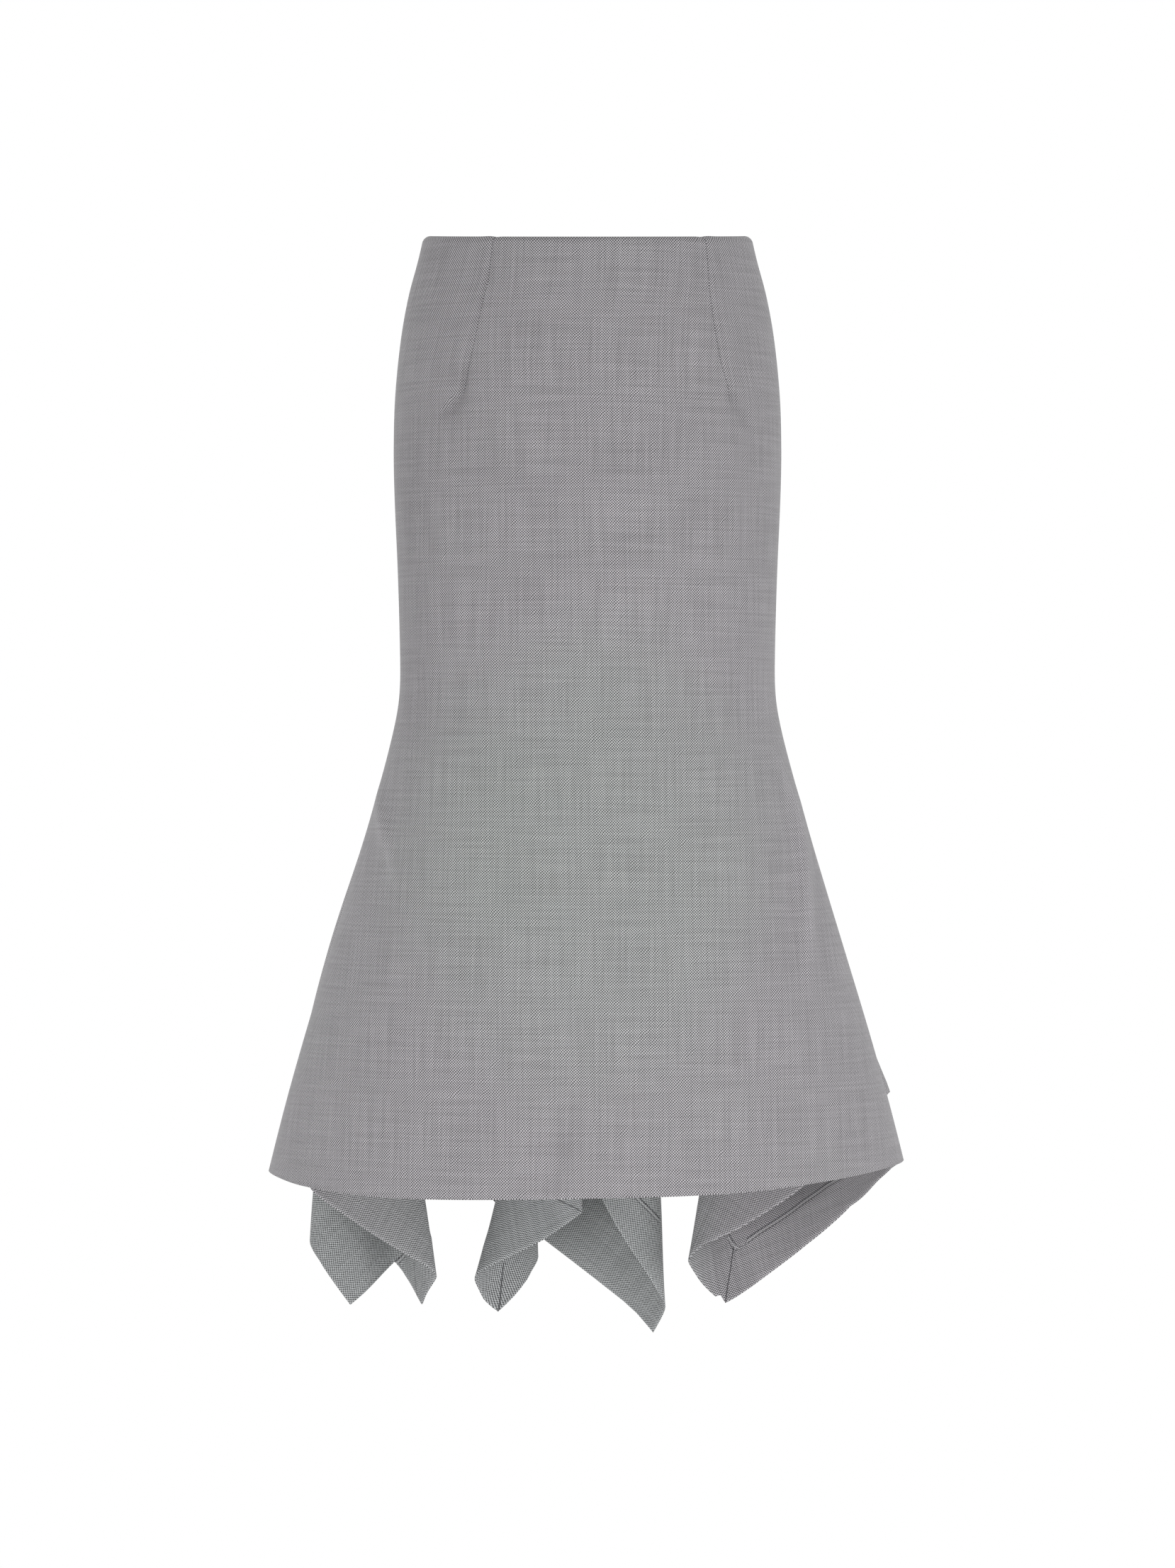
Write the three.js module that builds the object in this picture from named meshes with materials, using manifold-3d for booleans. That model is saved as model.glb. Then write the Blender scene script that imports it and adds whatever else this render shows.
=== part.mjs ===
// Fitted fishtail skirt in pinhead wool suiting, hollow as if filled out, with a clean faced waist.
// The front is one darted panel with a level hem. The two back panels carry far more cloth from the
// knee down: it hangs in folded handkerchief points that drop below the front hem, either side of a
// lapped centre-back vent. A concealed zip closes the centre-back seam.
// Millimetres, +Z up, front towards -Y, origin at the middle of the waist opening.
import * as THREE from 'three';
import { mergeVertices } from 'three/addons/utils/BufferGeometryUtils.js';
import Module from 'manifold-3d';

// Cloth and making-up
const clothWall = 1.6;          // suiting with its seam allowances pressed open
const seamGap = 0.3;            // between neighbouring panels
const waistRoll = 5;            // radius of the rolled, faced waist edge
const frontWaistDip = 10;       // the waist runs lower at the centre front
const dipFade = 130;            // the dip has gone by this far down
const tapeWall = 1.2;

// Flare and drape, as drops below the waist
const ventTop = 450;            // the centre-back seam ends and the right panel starts to lap
const drapeStart = 478;         // where the back starts to break into flutes
const lapShift = 1.5;           // each vent edge moves this far, the right one outwards
const lapShare = 0.2;           // share of the panel that moves with its vent edge
const drapeFull = 800;          // where the flutes have their full width
const drapeEase = 1.5;
const hemLevel = 860;           // middle of the back hem, where its cloth is measured out
const foldTop = 678;            // a fold at the right side seam stands proud of the outline
const foldPeak = 723;
const foldEnd = 731;
const foldProud = 11;
const foldReach = 0.09;         // share of the right back panel that it takes up

// Fitted shell: half width at the side seams, and depth before and behind them
const sections = [
  { drop: 0, half: 138, front: 97, back: 96 },
  { drop: 20, half: 142.6, front: 100, back: 100 },
  { drop: 51, half: 150.8, front: 105, back: 108 },
  { drop: 87, half: 157.2, front: 109, back: 117 },
  { drop: 135, half: 162, front: 112, back: 127 },
  { drop: 180, half: 163.3, front: 112, back: 132 },
  { drop: 219, half: 162.6, front: 111, back: 131 },
  { drop: 291, half: 159.6, front: 108, back: 125 },
  { drop: 365, half: 157.8, front: 106, back: 119 },
  { drop: 390, half: 158.7, front: 107, back: 119 },
  { drop: 411, half: 162, front: 109, back: 120 },
  { drop: 441, half: 169.2, front: 113, back: 124 },
  { drop: 489, half: 182.4, front: 120, back: 132 },
  { drop: 549, half: 200.2, front: 130, back: 143 },
  { drop: 609, half: 218.4, front: 141, back: 155 },
  { drop: 669, half: 236.5, front: 152, back: 167 },
  { drop: 729, half: 253.5, front: 163, back: 179 },
  { drop: 790, half: 269, front: 175, back: 191 },
  { drop: 960, half: 310, front: 206, back: 224 },
];

// Front hem, from the wearer's right side seam to the left one
const frontHem = [
  { x: -269, drop: 790 },
  { x: -235, drop: 797 },
  { x: -160, drop: 803 },
  { x: 0, drop: 801 },
  { x: 120, drop: 798 },
  { x: 200, drop: 790.5 },
  { x: 269, drop: 781 },
];

// Plan of each back panel at the front hem's level, in order along the cloth. A row with a gap is
// a fold: the cloth turns back on itself there, its loop pointing to turn (+1 is +X) and the cloth
// going on further from the viewer (step +1) or nearer (step -1). grow moves it per mm of drop.
const planDrop = 822;
const leftPlan = [
  { name: 'sideLap', x: -234, y: 50, grow: 0, gap: 0 },
  { name: 'frontLap', x: -188, y: 80, grow: 0, gap: 0 },
  { name: 'A', x: -140.5, y: 108, grow: 0.148, gap: 20, turn: 1, step: 1 },
  { name: 'hollow', x: -166, y: 150, grow: 0.05, gap: 0 },
  { name: 'point', x: -198, y: 134, grow: 0, gap: 0 },
  { name: 'B', x: -238.8, y: 142, grow: -0.06, gap: 22, turn: -1, step: 1 },
  { name: 'outer', x: -180, y: 178, grow: 0, gap: 0 },
  { name: 'outerBack', x: -115, y: 191, grow: 0, gap: 0 },
  { name: 'R', x: -45.3, y: 184, grow: 0.02, gap: 20, turn: 1, step: -1 },
  { name: 'C', x: -78.4, y: 150, grow: -0.27, gap: 24, turn: -1, step: -1 },
  { name: 'vent', x: -5, y: 118, grow: 0, gap: 0 },
];
const rightPlan = [
  { name: 'vent', x: -78, y: 209, grow: 0, gap: 0 },
  { name: 'outerBack', x: -5, y: 205, grow: 0, gap: 0 },
  { name: 'D', x: 62.6, y: 174, grow: 0.052, gap: 24, turn: 1, step: -1 },
  { name: 'E', x: 3, y: 136, grow: 0, gap: 18, turn: -1, step: -1 },
  { name: 'hidden', x: 90, y: 106, grow: 0, gap: 0 },
  { name: 'G', x: 187.3, y: 84, grow: 0, gap: 18, turn: 1, step: 1 },
  { name: 'F', x: 98.2, y: 138, grow: -0.18, gap: 26, turn: -1, step: 1 },
  { name: 'corner', x: 128, y: 162, grow: 0, gap: 0 },
  { name: 'outer', x: 178, y: 146, grow: 0, gap: 0 },
  { name: 'outerSide', x: 226, y: 102, grow: 0.1, gap: 0 },
  { name: 'sideLap', x: 254, y: 48, grow: 0.2, gap: 0 },
];

// Back hem: the drop at each x on a run of cloth between two folds. Points are the sharp dips.
const leftHem = [
  { run: 0, x: -238, drop: 806 },
  { run: 0, x: -232, drop: 814 },
  { run: 0, x: -188, drop: 848 },
  { run: 0, x: -135, drop: 882 },
  { run: 1, x: -136, drop: 899 },
  { run: 1, x: -143, drop: 914 },
  { run: 1, x: -158, drop: 892 },
  { run: 1, x: -168, drop: 879 },
  { run: 1, x: -206, drop: 915 },
  { run: 1, x: -233, drop: 876 },
  { run: 2, x: -236, drop: 852 },
  { run: 2, x: -175, drop: 808 },
  { run: 2, x: -110, drop: 800 },
  { run: 2, x: -66, drop: 846 },
  { run: 3, x: -50, drop: 890 },
  { run: 3, x: -59, drop: 904 },
  { run: 3, x: -78.5, drop: 924 },
  { run: 3, x: -95, drop: 904 },
  { run: 4, x: -94, drop: 888 },
  { run: 4, x: -38, drop: 858 },
];
const leftHemEnds = { first: 790, last: 834 };
const rightHem = [
  { run: 0, x: -37, drop: 865 },
  { run: 0, x: 7, drop: 898.5 },
  { run: 0, x: 32, drop: 917 },
  { run: 0, x: 44, drop: 927.5 },
  { run: 0, x: 57.8, drop: 944 },
  { run: 1, x: 62, drop: 908 },
  { run: 1, x: 32, drop: 860 },
  { run: 1, x: 12, drop: 823 },
  { run: 2, x: 12, drop: 803 },
  { run: 2, x: 178, drop: 797 },
  { run: 3, x: 178, drop: 816 },
  { run: 3, x: 135, drop: 845 },
  { run: 3, x: 98, drop: 865 },
  { run: 4, x: 94, drop: 889 },
  { run: 4, x: 112, drop: 910 },
  { run: 4, x: 116.5, drop: 909 },
  { run: 4, x: 120.6, drop: 916 },
  { run: 4, x: 143, drop: 901.5 },
  { run: 4, x: 191, drop: 863 },
  { run: 4, x: 227, drop: 827 },
  { run: 4, x: 258, drop: 789 },
];
const rightHemEnds = { first: 828, last: 781 };

// Mesh fineness
const frontColumns = 28;
const columnSpan = 15;          // widest spacing of the back's columns at the hem
const columnMerge = 2.2;        // columns closer than this are one
const fittedColumns = 14;       // of each back panel above the flutes
const planSamples = 900;
const hemRows = 7;
const upperRows = [0, 1.2, 3, 6, 25, 51, 87, 135, 185, 240, 300, 360, 390, 415];
const lowerRows = [440, ventTop, drapeStart, 510, 550, 595, 640, 678, 705, foldPeak, foldEnd];

// Concealed zip
const zipLength = 190;
const zipTapeHalf = 11;
const sliderDrop = 14;
const slider = { width: 5.2, height: 9, depth: 2.6 };
const ear = { width: 0.9, height: 3.4, reach: 3.3 };
const hingePin = { radius: 0.6, reach: 2.1 };
const pull = { width: 3, head: 1.75, hole: 0.95, neck: 9, length: 24, tip: 5.2, wall: 1.3 };
const hingeRise = 2;            // of the pull's pin above the slider's middle
const hingeReach = 1.9;         // and out from the slider's face
const pullTilt = 0.08;          // the tab hangs plumb but for this, its tip resting near the cloth

const suitingGrey = new THREE.MeshStandardMaterial({ color: 0x8f8d92, roughness: 0.9, metalness: 0 });
const tapeGrey = new THREE.MeshStandardMaterial({ color: 0x77767b, roughness: 0.85, metalness: 0 });
const zipMetal = new THREE.MeshStandardMaterial({ color: 0x8b8c90, roughness: 0.35, metalness: 0.9 });

// Smooth value of a table's column at a place between its rows
function readTable(rows, by, column, at) {
  const last = rows.length - 1;
  const slope = (i) => {
    const a = rows[Math.max(i - 1, 0)];
    const b = rows[Math.min(i + 1, last)];
    return (b[column] - a[column]) / (b[by] - a[by]);
  };
  let i = 0;
  while (i < last - 1 && at > rows[i + 1][by]) i += 1;
  const span = rows[i + 1][by] - rows[i][by];
  const t = THREE.MathUtils.clamp((at - rows[i][by]) / span, 0, 1);
  const rise = rows[i + 1][column] - rows[i][column];
  const bend = t * (1 - t) * ((1 - t) * (slope(i) * span - rise) - t * (slope(i + 1) * span - rise));
  return rows[i][column] + t * rise + bend;
}

const sectionAt = (drop, column) => readTable(sections, 'drop', column, drop);

// How far the rolled waist edge turns inwards
function rollInset(drop) {
  if (drop >= waistRoll) return 0;
  return waistRoll - Math.sqrt(waistRoll ** 2 - (waistRoll - drop) ** 2);
}

// Point of the fitted shell. turn runs from -1 at one side seam through 0 at the centre to 1.
function shellPoint(turn, drop, side) {
  const angle = (turn * Math.PI) / 2;
  const inset = rollInset(drop);
  const depth = sectionAt(drop, side < 0 ? 'front' : 'back') - inset;
  const x = (sectionAt(drop, 'half') - inset) * Math.sin(angle);
  const fade = Math.max(0, 1 - drop / dipFade);
  const dip = side < 0 ? frontWaistDip * Math.cos(angle) ** 2 * fade : 0;
  return new THREE.Vector3(x, side * depth * Math.cos(angle), -drop - dip);
}

// A closed wall of even thickness through rows of points. Rows may have different numbers of
// columns: columns[r] gives each point's place in the finest row. The wall's first and last edges
// are square to the axes named in square, so that neighbours meet face to face at a seam.
function clothGeometry(rows, columns, thickness, square = []) {
  const starts = [];
  const middle = [];
  rows.forEach((row) => {
    starts.push(middle.length / 3);
    row.forEach((p) => middle.push(p.x, p.y, p.z));
  });
  const faces = [];
  const rim = [];
  for (let r = 0; r < rows.length - 1; r += 1) {
    const [top, low] = [columns[r], columns[r + 1]];
    let [a, b] = [0, 0];
    rim.push([starts[r + 1], starts[r]]);
    while (a < top.length - 1 || b < low.length - 1) {
      const canTop = a < top.length - 1;
      const canLow = b < low.length - 1;
      const topNext = canTop ? top[a] + top[a + 1] : Infinity;
      const lowNext = canLow ? low[b] + low[b + 1] : Infinity;
      if (lowNext <= topNext) {
        faces.push(starts[r] + a, starts[r + 1] + b, starts[r + 1] + b + 1);
        b += 1;
      } else {
        faces.push(starts[r] + a, starts[r + 1] + b, starts[r] + a + 1);
        a += 1;
      }
    }
    rim.push([starts[r] + top.length - 1, starts[r + 1] + low.length - 1]);
  }
  const lastRow = rows.length - 1;
  for (let c = 0; c < rows[0].length - 1; c += 1) rim.push([starts[0] + c, starts[0] + c + 1]);
  for (let c = 0; c < rows[lastRow].length - 1; c += 1) {
    rim.push([starts[lastRow] + c + 1, starts[lastRow] + c]);
  }

  const sheet = new THREE.BufferGeometry();
  sheet.setAttribute('position', new THREE.Float32BufferAttribute(middle, 3));
  sheet.setIndex(faces);
  sheet.computeVertexNormals();
  const normals = sheet.getAttribute('normal');
  const count = middle.length / 3;
  const squareUp = (i, axis) => {
    if (!axis) return;
    const n = new THREE.Vector3().fromBufferAttribute(normals, i);
    n[axis] = 0;
    n.normalize();
    normals.setXYZ(i, n.x, n.y, n.z);
  };
  rows.forEach((row, r) => {
    squareUp(starts[r], square[0]);
    squareUp(starts[r] + row.length - 1, square[1]);
  });
  const wall = new Float32Array(middle.length * 2);
  for (let i = 0; i < count; i += 1) {
    const n = [normals.getX(i), normals.getY(i), normals.getZ(i)];
    for (let k = 0; k < 3; k += 1) {
      wall[3 * i + k] = middle[3 * i + k] + (n[k] * thickness) / 2;
      wall[3 * (count + i) + k] = middle[3 * i + k] - (n[k] * thickness) / 2;
    }
  }
  const index = [];
  for (let f = 0; f < faces.length; f += 3) {
    index.push(faces[f], faces[f + 1], faces[f + 2]);
    index.push(count + faces[f], count + faces[f + 2], count + faces[f + 1]);
  }
  rim.forEach(([p, q]) => {
    index.push(p, q, count + q);
    index.push(p, count + q, count + p);
  });
  const geometry = new THREE.BufferGeometry();
  geometry.setAttribute('position', new THREE.BufferAttribute(wall, 3));
  geometry.setIndex(index);
  return geometry;
}

// Drops of one column's points, from the waist to its hem
function columnDrops(hem) {
  const level = [...upperRows, ...lowerRows];
  for (let k = 1; k <= hemRows; k += 1) {
    level.push(THREE.MathUtils.lerp(foldEnd, hem, k / hemRows));
  }
  return level;
}

function frontPanel() {
  const seamTurn = 1 - seamGap / 2 / (sectionAt(0, 'front') * Math.PI / 2);
  const count = upperRows.length + lowerRows.length + hemRows;
  const rows = Array.from({ length: count }, () => []);
  for (let c = 0; c <= frontColumns; c += 1) {
    const turn = THREE.MathUtils.lerp(-seamTurn, seamTurn, c / frontColumns);
    const hemX = -frontHem[0].x * Math.sin((turn * Math.PI) / 2);
    const hem = readTable(frontHem, 'x', 'drop', hemX);
    columnDrops(hem).forEach((drop, r) => rows[r].push(shellPoint(turn, drop, -1)));
  }
  const columns = rows.map((row) => row.map((_, c) => c));
  return clothGeometry(rows, columns, clothWall, ['y', 'y']);
}

// Plan curve of a back panel at one drop, through its folds, from left to right
function planCurve(plan, drop, side) {
  const points = [];
  const marks = [];
  plan.forEach((spot) => {
    const x = spot.x + spot.grow * (drop - planDrop);
    if (spot.gap === 0) {
      points.push(new THREE.Vector3(x, spot.y, 0));
      return;
    }
    const back = x - (spot.turn * spot.gap) / 2;
    const half = (spot.step * spot.gap) / 2;
    points.push(new THREE.Vector3(back, spot.y - half, 0));
    marks.push(points.length);
    points.push(new THREE.Vector3(x, spot.y, 0));
    points.push(new THREE.Vector3(back, spot.y + half, 0));
  });
  const seam = new THREE.Vector3(side * sectionAt(drop, 'half'), seamGap / 2, 0);
  if (side < 0) {
    points.unshift(seam);
    for (let m = 0; m < marks.length; m += 1) marks[m] += 1;
  } else {
    points.push(seam);
  }
  const curve = new THREE.CatmullRomCurve3(points, false, 'centripetal');
  return { curve, folds: marks.map((m) => m / (points.length - 1)) };
}

// Points along a plan curve, with the run between folds and the length of cloth at each
function samplePlan(plan, drop, side) {
  const { curve, folds } = planCurve(plan, drop, side);
  const samples = [];
  let length = 0;
  for (let s = 0; s <= planSamples; s += 1) {
    const t = s / planSamples;
    const point = curve.getPoint(t);
    if (s > 0) length += point.distanceTo(samples[s - 1].point);
    samples.push({ t, point, run: folds.filter((fold) => fold <= t).length, length });
  }
  return { samples, folds };
}

// The cloth's columns, as places along the plan curve, with the hem's drop at each
function backColumns(plan, hemRowsTable, ends, side) {
  const { samples, folds } = samplePlan(plan, hemLevel, side);
  const { length } = samples[planSamples];
  const hem = hemRowsTable.map((row) => {
    const nearest = samplePlan(plan, row.drop, side).samples.filter((s) => s.run === row.run)
      .reduce((best, s) => (Math.abs(s.point.x - row.x) < Math.abs(best.point.x - row.x) ? s : best));
    return { length: samples[Math.round(nearest.t * planSamples)].length, drop: row.drop };
  });
  hem.unshift({ length: 0, drop: ends.first });
  hem.push({ length, drop: ends.last });
  hem.sort((a, b) => a.length - b.length);
  const kept = hem.map((row) => row.length);
  folds.forEach((fold) => {
    const at = samples[Math.round(fold * planSamples)].length;
    [-14, -7, 0, 7, 14].forEach((shift) => {
      if (kept.every((k) => Math.abs(k - (at + shift)) > 4)) kept.push(at + shift);
    });
  });
  kept.sort((a, b) => a - b);
  const lengths = [kept[0]];
  kept.slice(1).forEach((stop) => {
    const from = lengths[lengths.length - 1];
    if (stop - from < columnMerge) return;
    const parts = Math.ceil((stop - from) / columnSpan);
    for (let p = 1; p <= parts; p += 1) lengths.push(from + ((stop - from) * p) / parts);
  });
  return lengths.map((at) => {
    const i = Math.max(1, hem.findIndex((row) => row.length >= at - 1e-6));
    const part = (at - hem[i - 1].length) / (hem[i].length - hem[i - 1].length);
    const sample = samples.reduce((best, s) => (
      Math.abs(s.length - at) < Math.abs(best.length - at) ? s : best));
    return {
      t: sample.t,
      share: at / length,
      drop: THREE.MathUtils.lerp(hem[i - 1].drop, hem[i].drop, part),
    };
  });
}

// Turn of the fitted shell at a share of the way from the side seam to the centre back
function backTurn(fromSeam, side) {
  const sideTrim = seamGap / 2 / sectionAt(0, 'back');
  return side * (1 - THREE.MathUtils.lerp(sideTrim, 1, fromSeam));
}

// Point of a back panel's fitted part, trimmed at the centre-back seam and lapped below it
function fittedPoint(fromSeam, drop, side) {
  const point = shellPoint(backTurn(fromSeam, side), drop, 1);
  const nearVent = Math.max(0, 1 - (1 - fromSeam) / lapShare);
  if (fromSeam > 0.999) point.x += (side * seamGap) / 2;
  point.y += side * lapShift * nearVent * THREE.MathUtils.smoothstep(drop, ventTop, drapeStart);
  return point;
}

// A back panel: fitted to the knee, then blending into its folded plan
function backPanel(plan, hemRowsTable, ends, side) {
  const columns = backColumns(plan, hemRowsTable, ends, side);
  const fromSeamAt = (share) => (side < 0 ? share : 1 - share);
  const rows = upperRows.map((drop) => Array.from({ length: fittedColumns + 1 }, (_, k) => (
    fittedPoint(fromSeamAt(k / fittedColumns), drop, side))));
  const places = upperRows.map(() => (
    Array.from({ length: fittedColumns + 1 }, (_, k) => k / fittedColumns)));
  for (let r = 0; r < lowerRows.length + hemRows; r += 1) {
    rows.push([]);
    places.push(columns.map((column) => column.share));
  }
  const curves = new Map();
  const curveAt = (drop) => {
    if (!curves.has(drop)) curves.set(drop, planCurve(plan, drop, side).curve);
    return curves.get(drop);
  };
  columns.forEach((column) => {
    const fromSeam = fromSeamAt(column.share);
    columnDrops(column.drop).forEach((drop, r) => {
      if (r < upperRows.length) return;
      const point = fittedPoint(fromSeam, drop, side);
      if (drop > drapeStart) {
        const share = Math.min(1, (drop - drapeStart) / (drapeFull - drapeStart));
        const folded = curveAt(drop).getPoint(column.t);
        folded.z = point.z;
        point.lerp(folded, share ** drapeEase);
      }
      if (side > 0 && drop > foldTop && drop < foldEnd && fromSeam < foldReach) {
        const rise = Math.min(1, (drop - foldTop) / (foldPeak - foldTop));
        point.x += foldProud * rise * Math.sin((Math.PI * fromSeam) / foldReach);
      }
      rows[r].push(point);
    });
  });
  return clothGeometry(rows, places, clothWall, side < 0 ? ['y', 'x'] : ['x', 'y']);
}

// Strip inside the centre-back seam that the zip's teeth are woven to, made from the panels' points
function zipTape() {
  const inwards = (clothWall + tapeWall) / 2 + seamGap * 1.5;
  const rows = upperRows.filter((drop) => drop > waistRoll && drop < zipLength).map((drop) => {
    const edge = fittedPoint(1, drop, 1);
    const next = fittedPoint(1 - 1 / fittedColumns, drop, 1);
    const side = edge.clone().lerp(next, (zipTapeHalf - edge.x) / (next.x - edge.x));
    return [side, edge.setX(0), new THREE.Vector3(-side.x, side.y, side.z)]
      .map((point) => new THREE.Vector3(point.x, point.y - inwards, point.z));
  });
  const columns = rows.map((row) => row.map((_, c) => c));
  return clothGeometry(rows, columns, tapeWall);
}

const wasm = await Module();
wasm.setup();

function toSolid(geometry) {
  const bare = geometry.clone();
  bare.deleteAttribute('normal');
  bare.deleteAttribute('uv');
  const merged = mergeVertices(bare, 1e-4);
  return new wasm.Manifold(new wasm.Mesh({
    numProp: 3,
    vertProperties: merged.getAttribute('position').array,
    triVerts: new Uint32Array(merged.index.array),
  }));
}

function toGeometry(solid) {
  const mesh = solid.getMesh();
  const geometry = new THREE.BufferGeometry();
  geometry.setAttribute('position', new THREE.BufferAttribute(mesh.vertProperties, 3));
  geometry.setIndex(new THREE.BufferAttribute(mesh.triVerts, 1));
  return geometry;
}

// Seat of the slider: flat on the outside of the centre-back seam, between two rows of the panels
const [seatTop, seatLow] = [upperRows[3], upperRows[4]].map((drop) => fittedPoint(1, drop, 1));
const seatShare = (sliderDrop + seatTop.z) / (seatTop.z - seatLow.z);
const seatLean = Math.atan2(seatLow.y - seatTop.y, seatTop.z - seatLow.z);
const seatOut = clothWall / 2 + seamGap + slider.depth / 2;
const onSlider = (y, z) => new THREE.Vector3(0, y, z)
  .applyAxisAngle(new THREE.Vector3(1, 0, 0), seatLean)
  .add(new THREE.Vector3(0, THREE.MathUtils.lerp(seatTop.y, seatLow.y, seatShare), -sliderDrop));
const hinge = onSlider(seatOut + slider.depth / 2 + hingeReach, hingeRise);

function zipSlider() {
  const body = new THREE.BoxGeometry(slider.width, slider.depth, slider.height);
  let solid = toSolid(body);
  const earX = pull.width / 2 + seamGap + ear.width / 2;
  const pinY = slider.depth / 2 + hingeReach;
  [-earX, earX].forEach((x) => {
    const lug = new THREE.BoxGeometry(ear.width, ear.reach, ear.height);
    lug.translate(x, pinY - ear.reach / 2 + 1.2, hingeRise);
    solid = solid.add(toSolid(lug));
  });
  const pin = new THREE.CylinderGeometry(hingePin.radius, hingePin.radius, hingePin.reach * 2, 14);
  pin.rotateZ(Math.PI / 2);
  pin.translate(0, pinY, hingeRise);
  return toGeometry(solid.add(toSolid(pin)));
}

// Pull tab: a ring head round the pin, a neck between the ears and a flat drop below them
function zipPull() {
  const outline = new THREE.Shape();
  const neck = pull.width / 2;
  outline.moveTo(-neck, 0);
  outline.lineTo(-neck, -pull.neck);
  outline.lineTo(-pull.tip / 2, -pull.length + pull.tip / 2);
  outline.absarc(0, -pull.length + pull.tip / 2, pull.tip / 2, Math.PI, 2 * Math.PI, false);
  outline.lineTo(neck, -pull.neck);
  outline.lineTo(neck, 0);
  const plate = new THREE.ExtrudeGeometry(outline, { depth: pull.wall, bevelEnabled: false, curveSegments: 10 });
  plate.translate(0, 0, -pull.wall / 2);
  plate.rotateX(Math.PI / 2);
  const ring = new THREE.CylinderGeometry(pull.head, pull.head, pull.width, 18);
  ring.rotateZ(Math.PI / 2);
  const hole = new THREE.CylinderGeometry(pull.hole, pull.hole, pull.width + 1, 18);
  hole.rotateZ(Math.PI / 2);
  return toGeometry(toSolid(plate).add(toSolid(ring)).subtract(toSolid(hole)));
}

function named(name, geometry, material) {
  const mesh = new THREE.Mesh(geometry, material);
  mesh.name = name;
  return mesh;
}

const skirt = new THREE.Group();
skirt.add(named('front_panel', frontPanel(), suitingGrey));
skirt.add(named('back_left_panel', backPanel(leftPlan, leftHem, leftHemEnds, -1), suitingGrey));
skirt.add(named('back_right_panel', backPanel(rightPlan, rightHem, rightHemEnds, 1), suitingGrey));
skirt.add(named('zip_tape', zipTape(), tapeGrey));

const sliderMesh = named('zip_slider', zipSlider(), zipMetal);
sliderMesh.position.copy(onSlider(seatOut, 0));
sliderMesh.rotation.x = seatLean;
skirt.add(sliderMesh);

const pullMesh = named('zip_pull', zipPull(), zipMetal);
pullMesh.position.copy(hinge);
pullMesh.rotation.x = pullTilt;
skirt.add(pullMesh);

export default skirt;
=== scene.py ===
# Fitted fishtail skirt in pinhead wool suiting: a darted front panel with a level hem, and two back
# panels that hang in folded handkerchief points either side of a lapped vent.
import math
import bpy
import numpy as np
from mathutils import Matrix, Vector


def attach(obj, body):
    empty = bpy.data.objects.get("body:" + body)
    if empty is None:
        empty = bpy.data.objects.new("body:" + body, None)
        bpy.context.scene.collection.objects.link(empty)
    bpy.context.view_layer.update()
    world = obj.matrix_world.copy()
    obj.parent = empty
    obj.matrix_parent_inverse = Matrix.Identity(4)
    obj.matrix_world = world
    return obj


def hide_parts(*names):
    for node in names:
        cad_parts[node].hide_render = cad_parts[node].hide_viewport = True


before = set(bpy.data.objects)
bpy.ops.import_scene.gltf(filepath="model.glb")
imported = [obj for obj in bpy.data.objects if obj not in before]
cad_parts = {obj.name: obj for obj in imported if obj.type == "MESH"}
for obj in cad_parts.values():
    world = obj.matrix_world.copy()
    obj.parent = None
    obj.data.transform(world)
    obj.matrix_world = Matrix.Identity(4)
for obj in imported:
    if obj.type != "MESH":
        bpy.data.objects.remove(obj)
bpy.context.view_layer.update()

mm = 0.001
scene = bpy.context.scene

view = {"distance": 5.0, "height": -0.463, "seenHeight": 1.3272, "sensor": 36, "clipEnd": 60}

camera = bpy.data.objects.new("camera", bpy.data.cameras.new("camera"))
scene.collection.objects.link(camera)
camera.location = (0, -view["distance"], view["height"])
camera.rotation_euler = (math.pi / 2, 0, 0)
camera.data.sensor_fit = "VERTICAL"
camera.data.sensor_height = view["sensor"]
camera.data.lens = view["sensor"] * view["distance"] / view["seenHeight"]
camera.data.clip_end = view["clipEnd"]
scene.camera = camera
scene.view_settings.view_transform = "Standard"

studio = {
    "ambient": 0.62,
    # name, place, size, power and the place it points at
    "lamps": [
        ("keyLight", (2.5, -1.8, -0.95), 1.8, 35, (0, 0, -0.55)),
        ("leftFill", (-1.7, -1.7, -1.42), 1.4, 23, (0, 0, -0.85)),
        ("frontFill", (-0.1, -3.7, -1.45), 2.2, 57, (0, 0, -0.85))],
    "domeRadius": 9.0,
    "floorDrop": -1.5, "floorHalf": 2.2,
    "floorGrey": ((0.80, 0.80, 0.80, 1), (0.84, 0.84, 0.84, 1)), "floorSpeck": 3.0,
}
world = bpy.data.worlds.new("studio")
world.use_nodes = True
ambient = world.node_tree.nodes["Background"]
ambient.inputs["Color"].default_value = (1, 1, 1, 1)
ambient.inputs["Strength"].default_value = studio["ambient"]
scene.world = world

for name, place, size, power, target in studio["lamps"]:
    lamp = bpy.data.lights.new(name, "AREA")
    lamp.size, lamp.energy = size, power
    holder = bpy.data.objects.new(name, lamp)
    holder.location = place
    holder.rotation_euler = (Vector(target) - Vector(place)).to_track_quat("-Z", "Y").to_euler()
    scene.collection.objects.link(holder)


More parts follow.
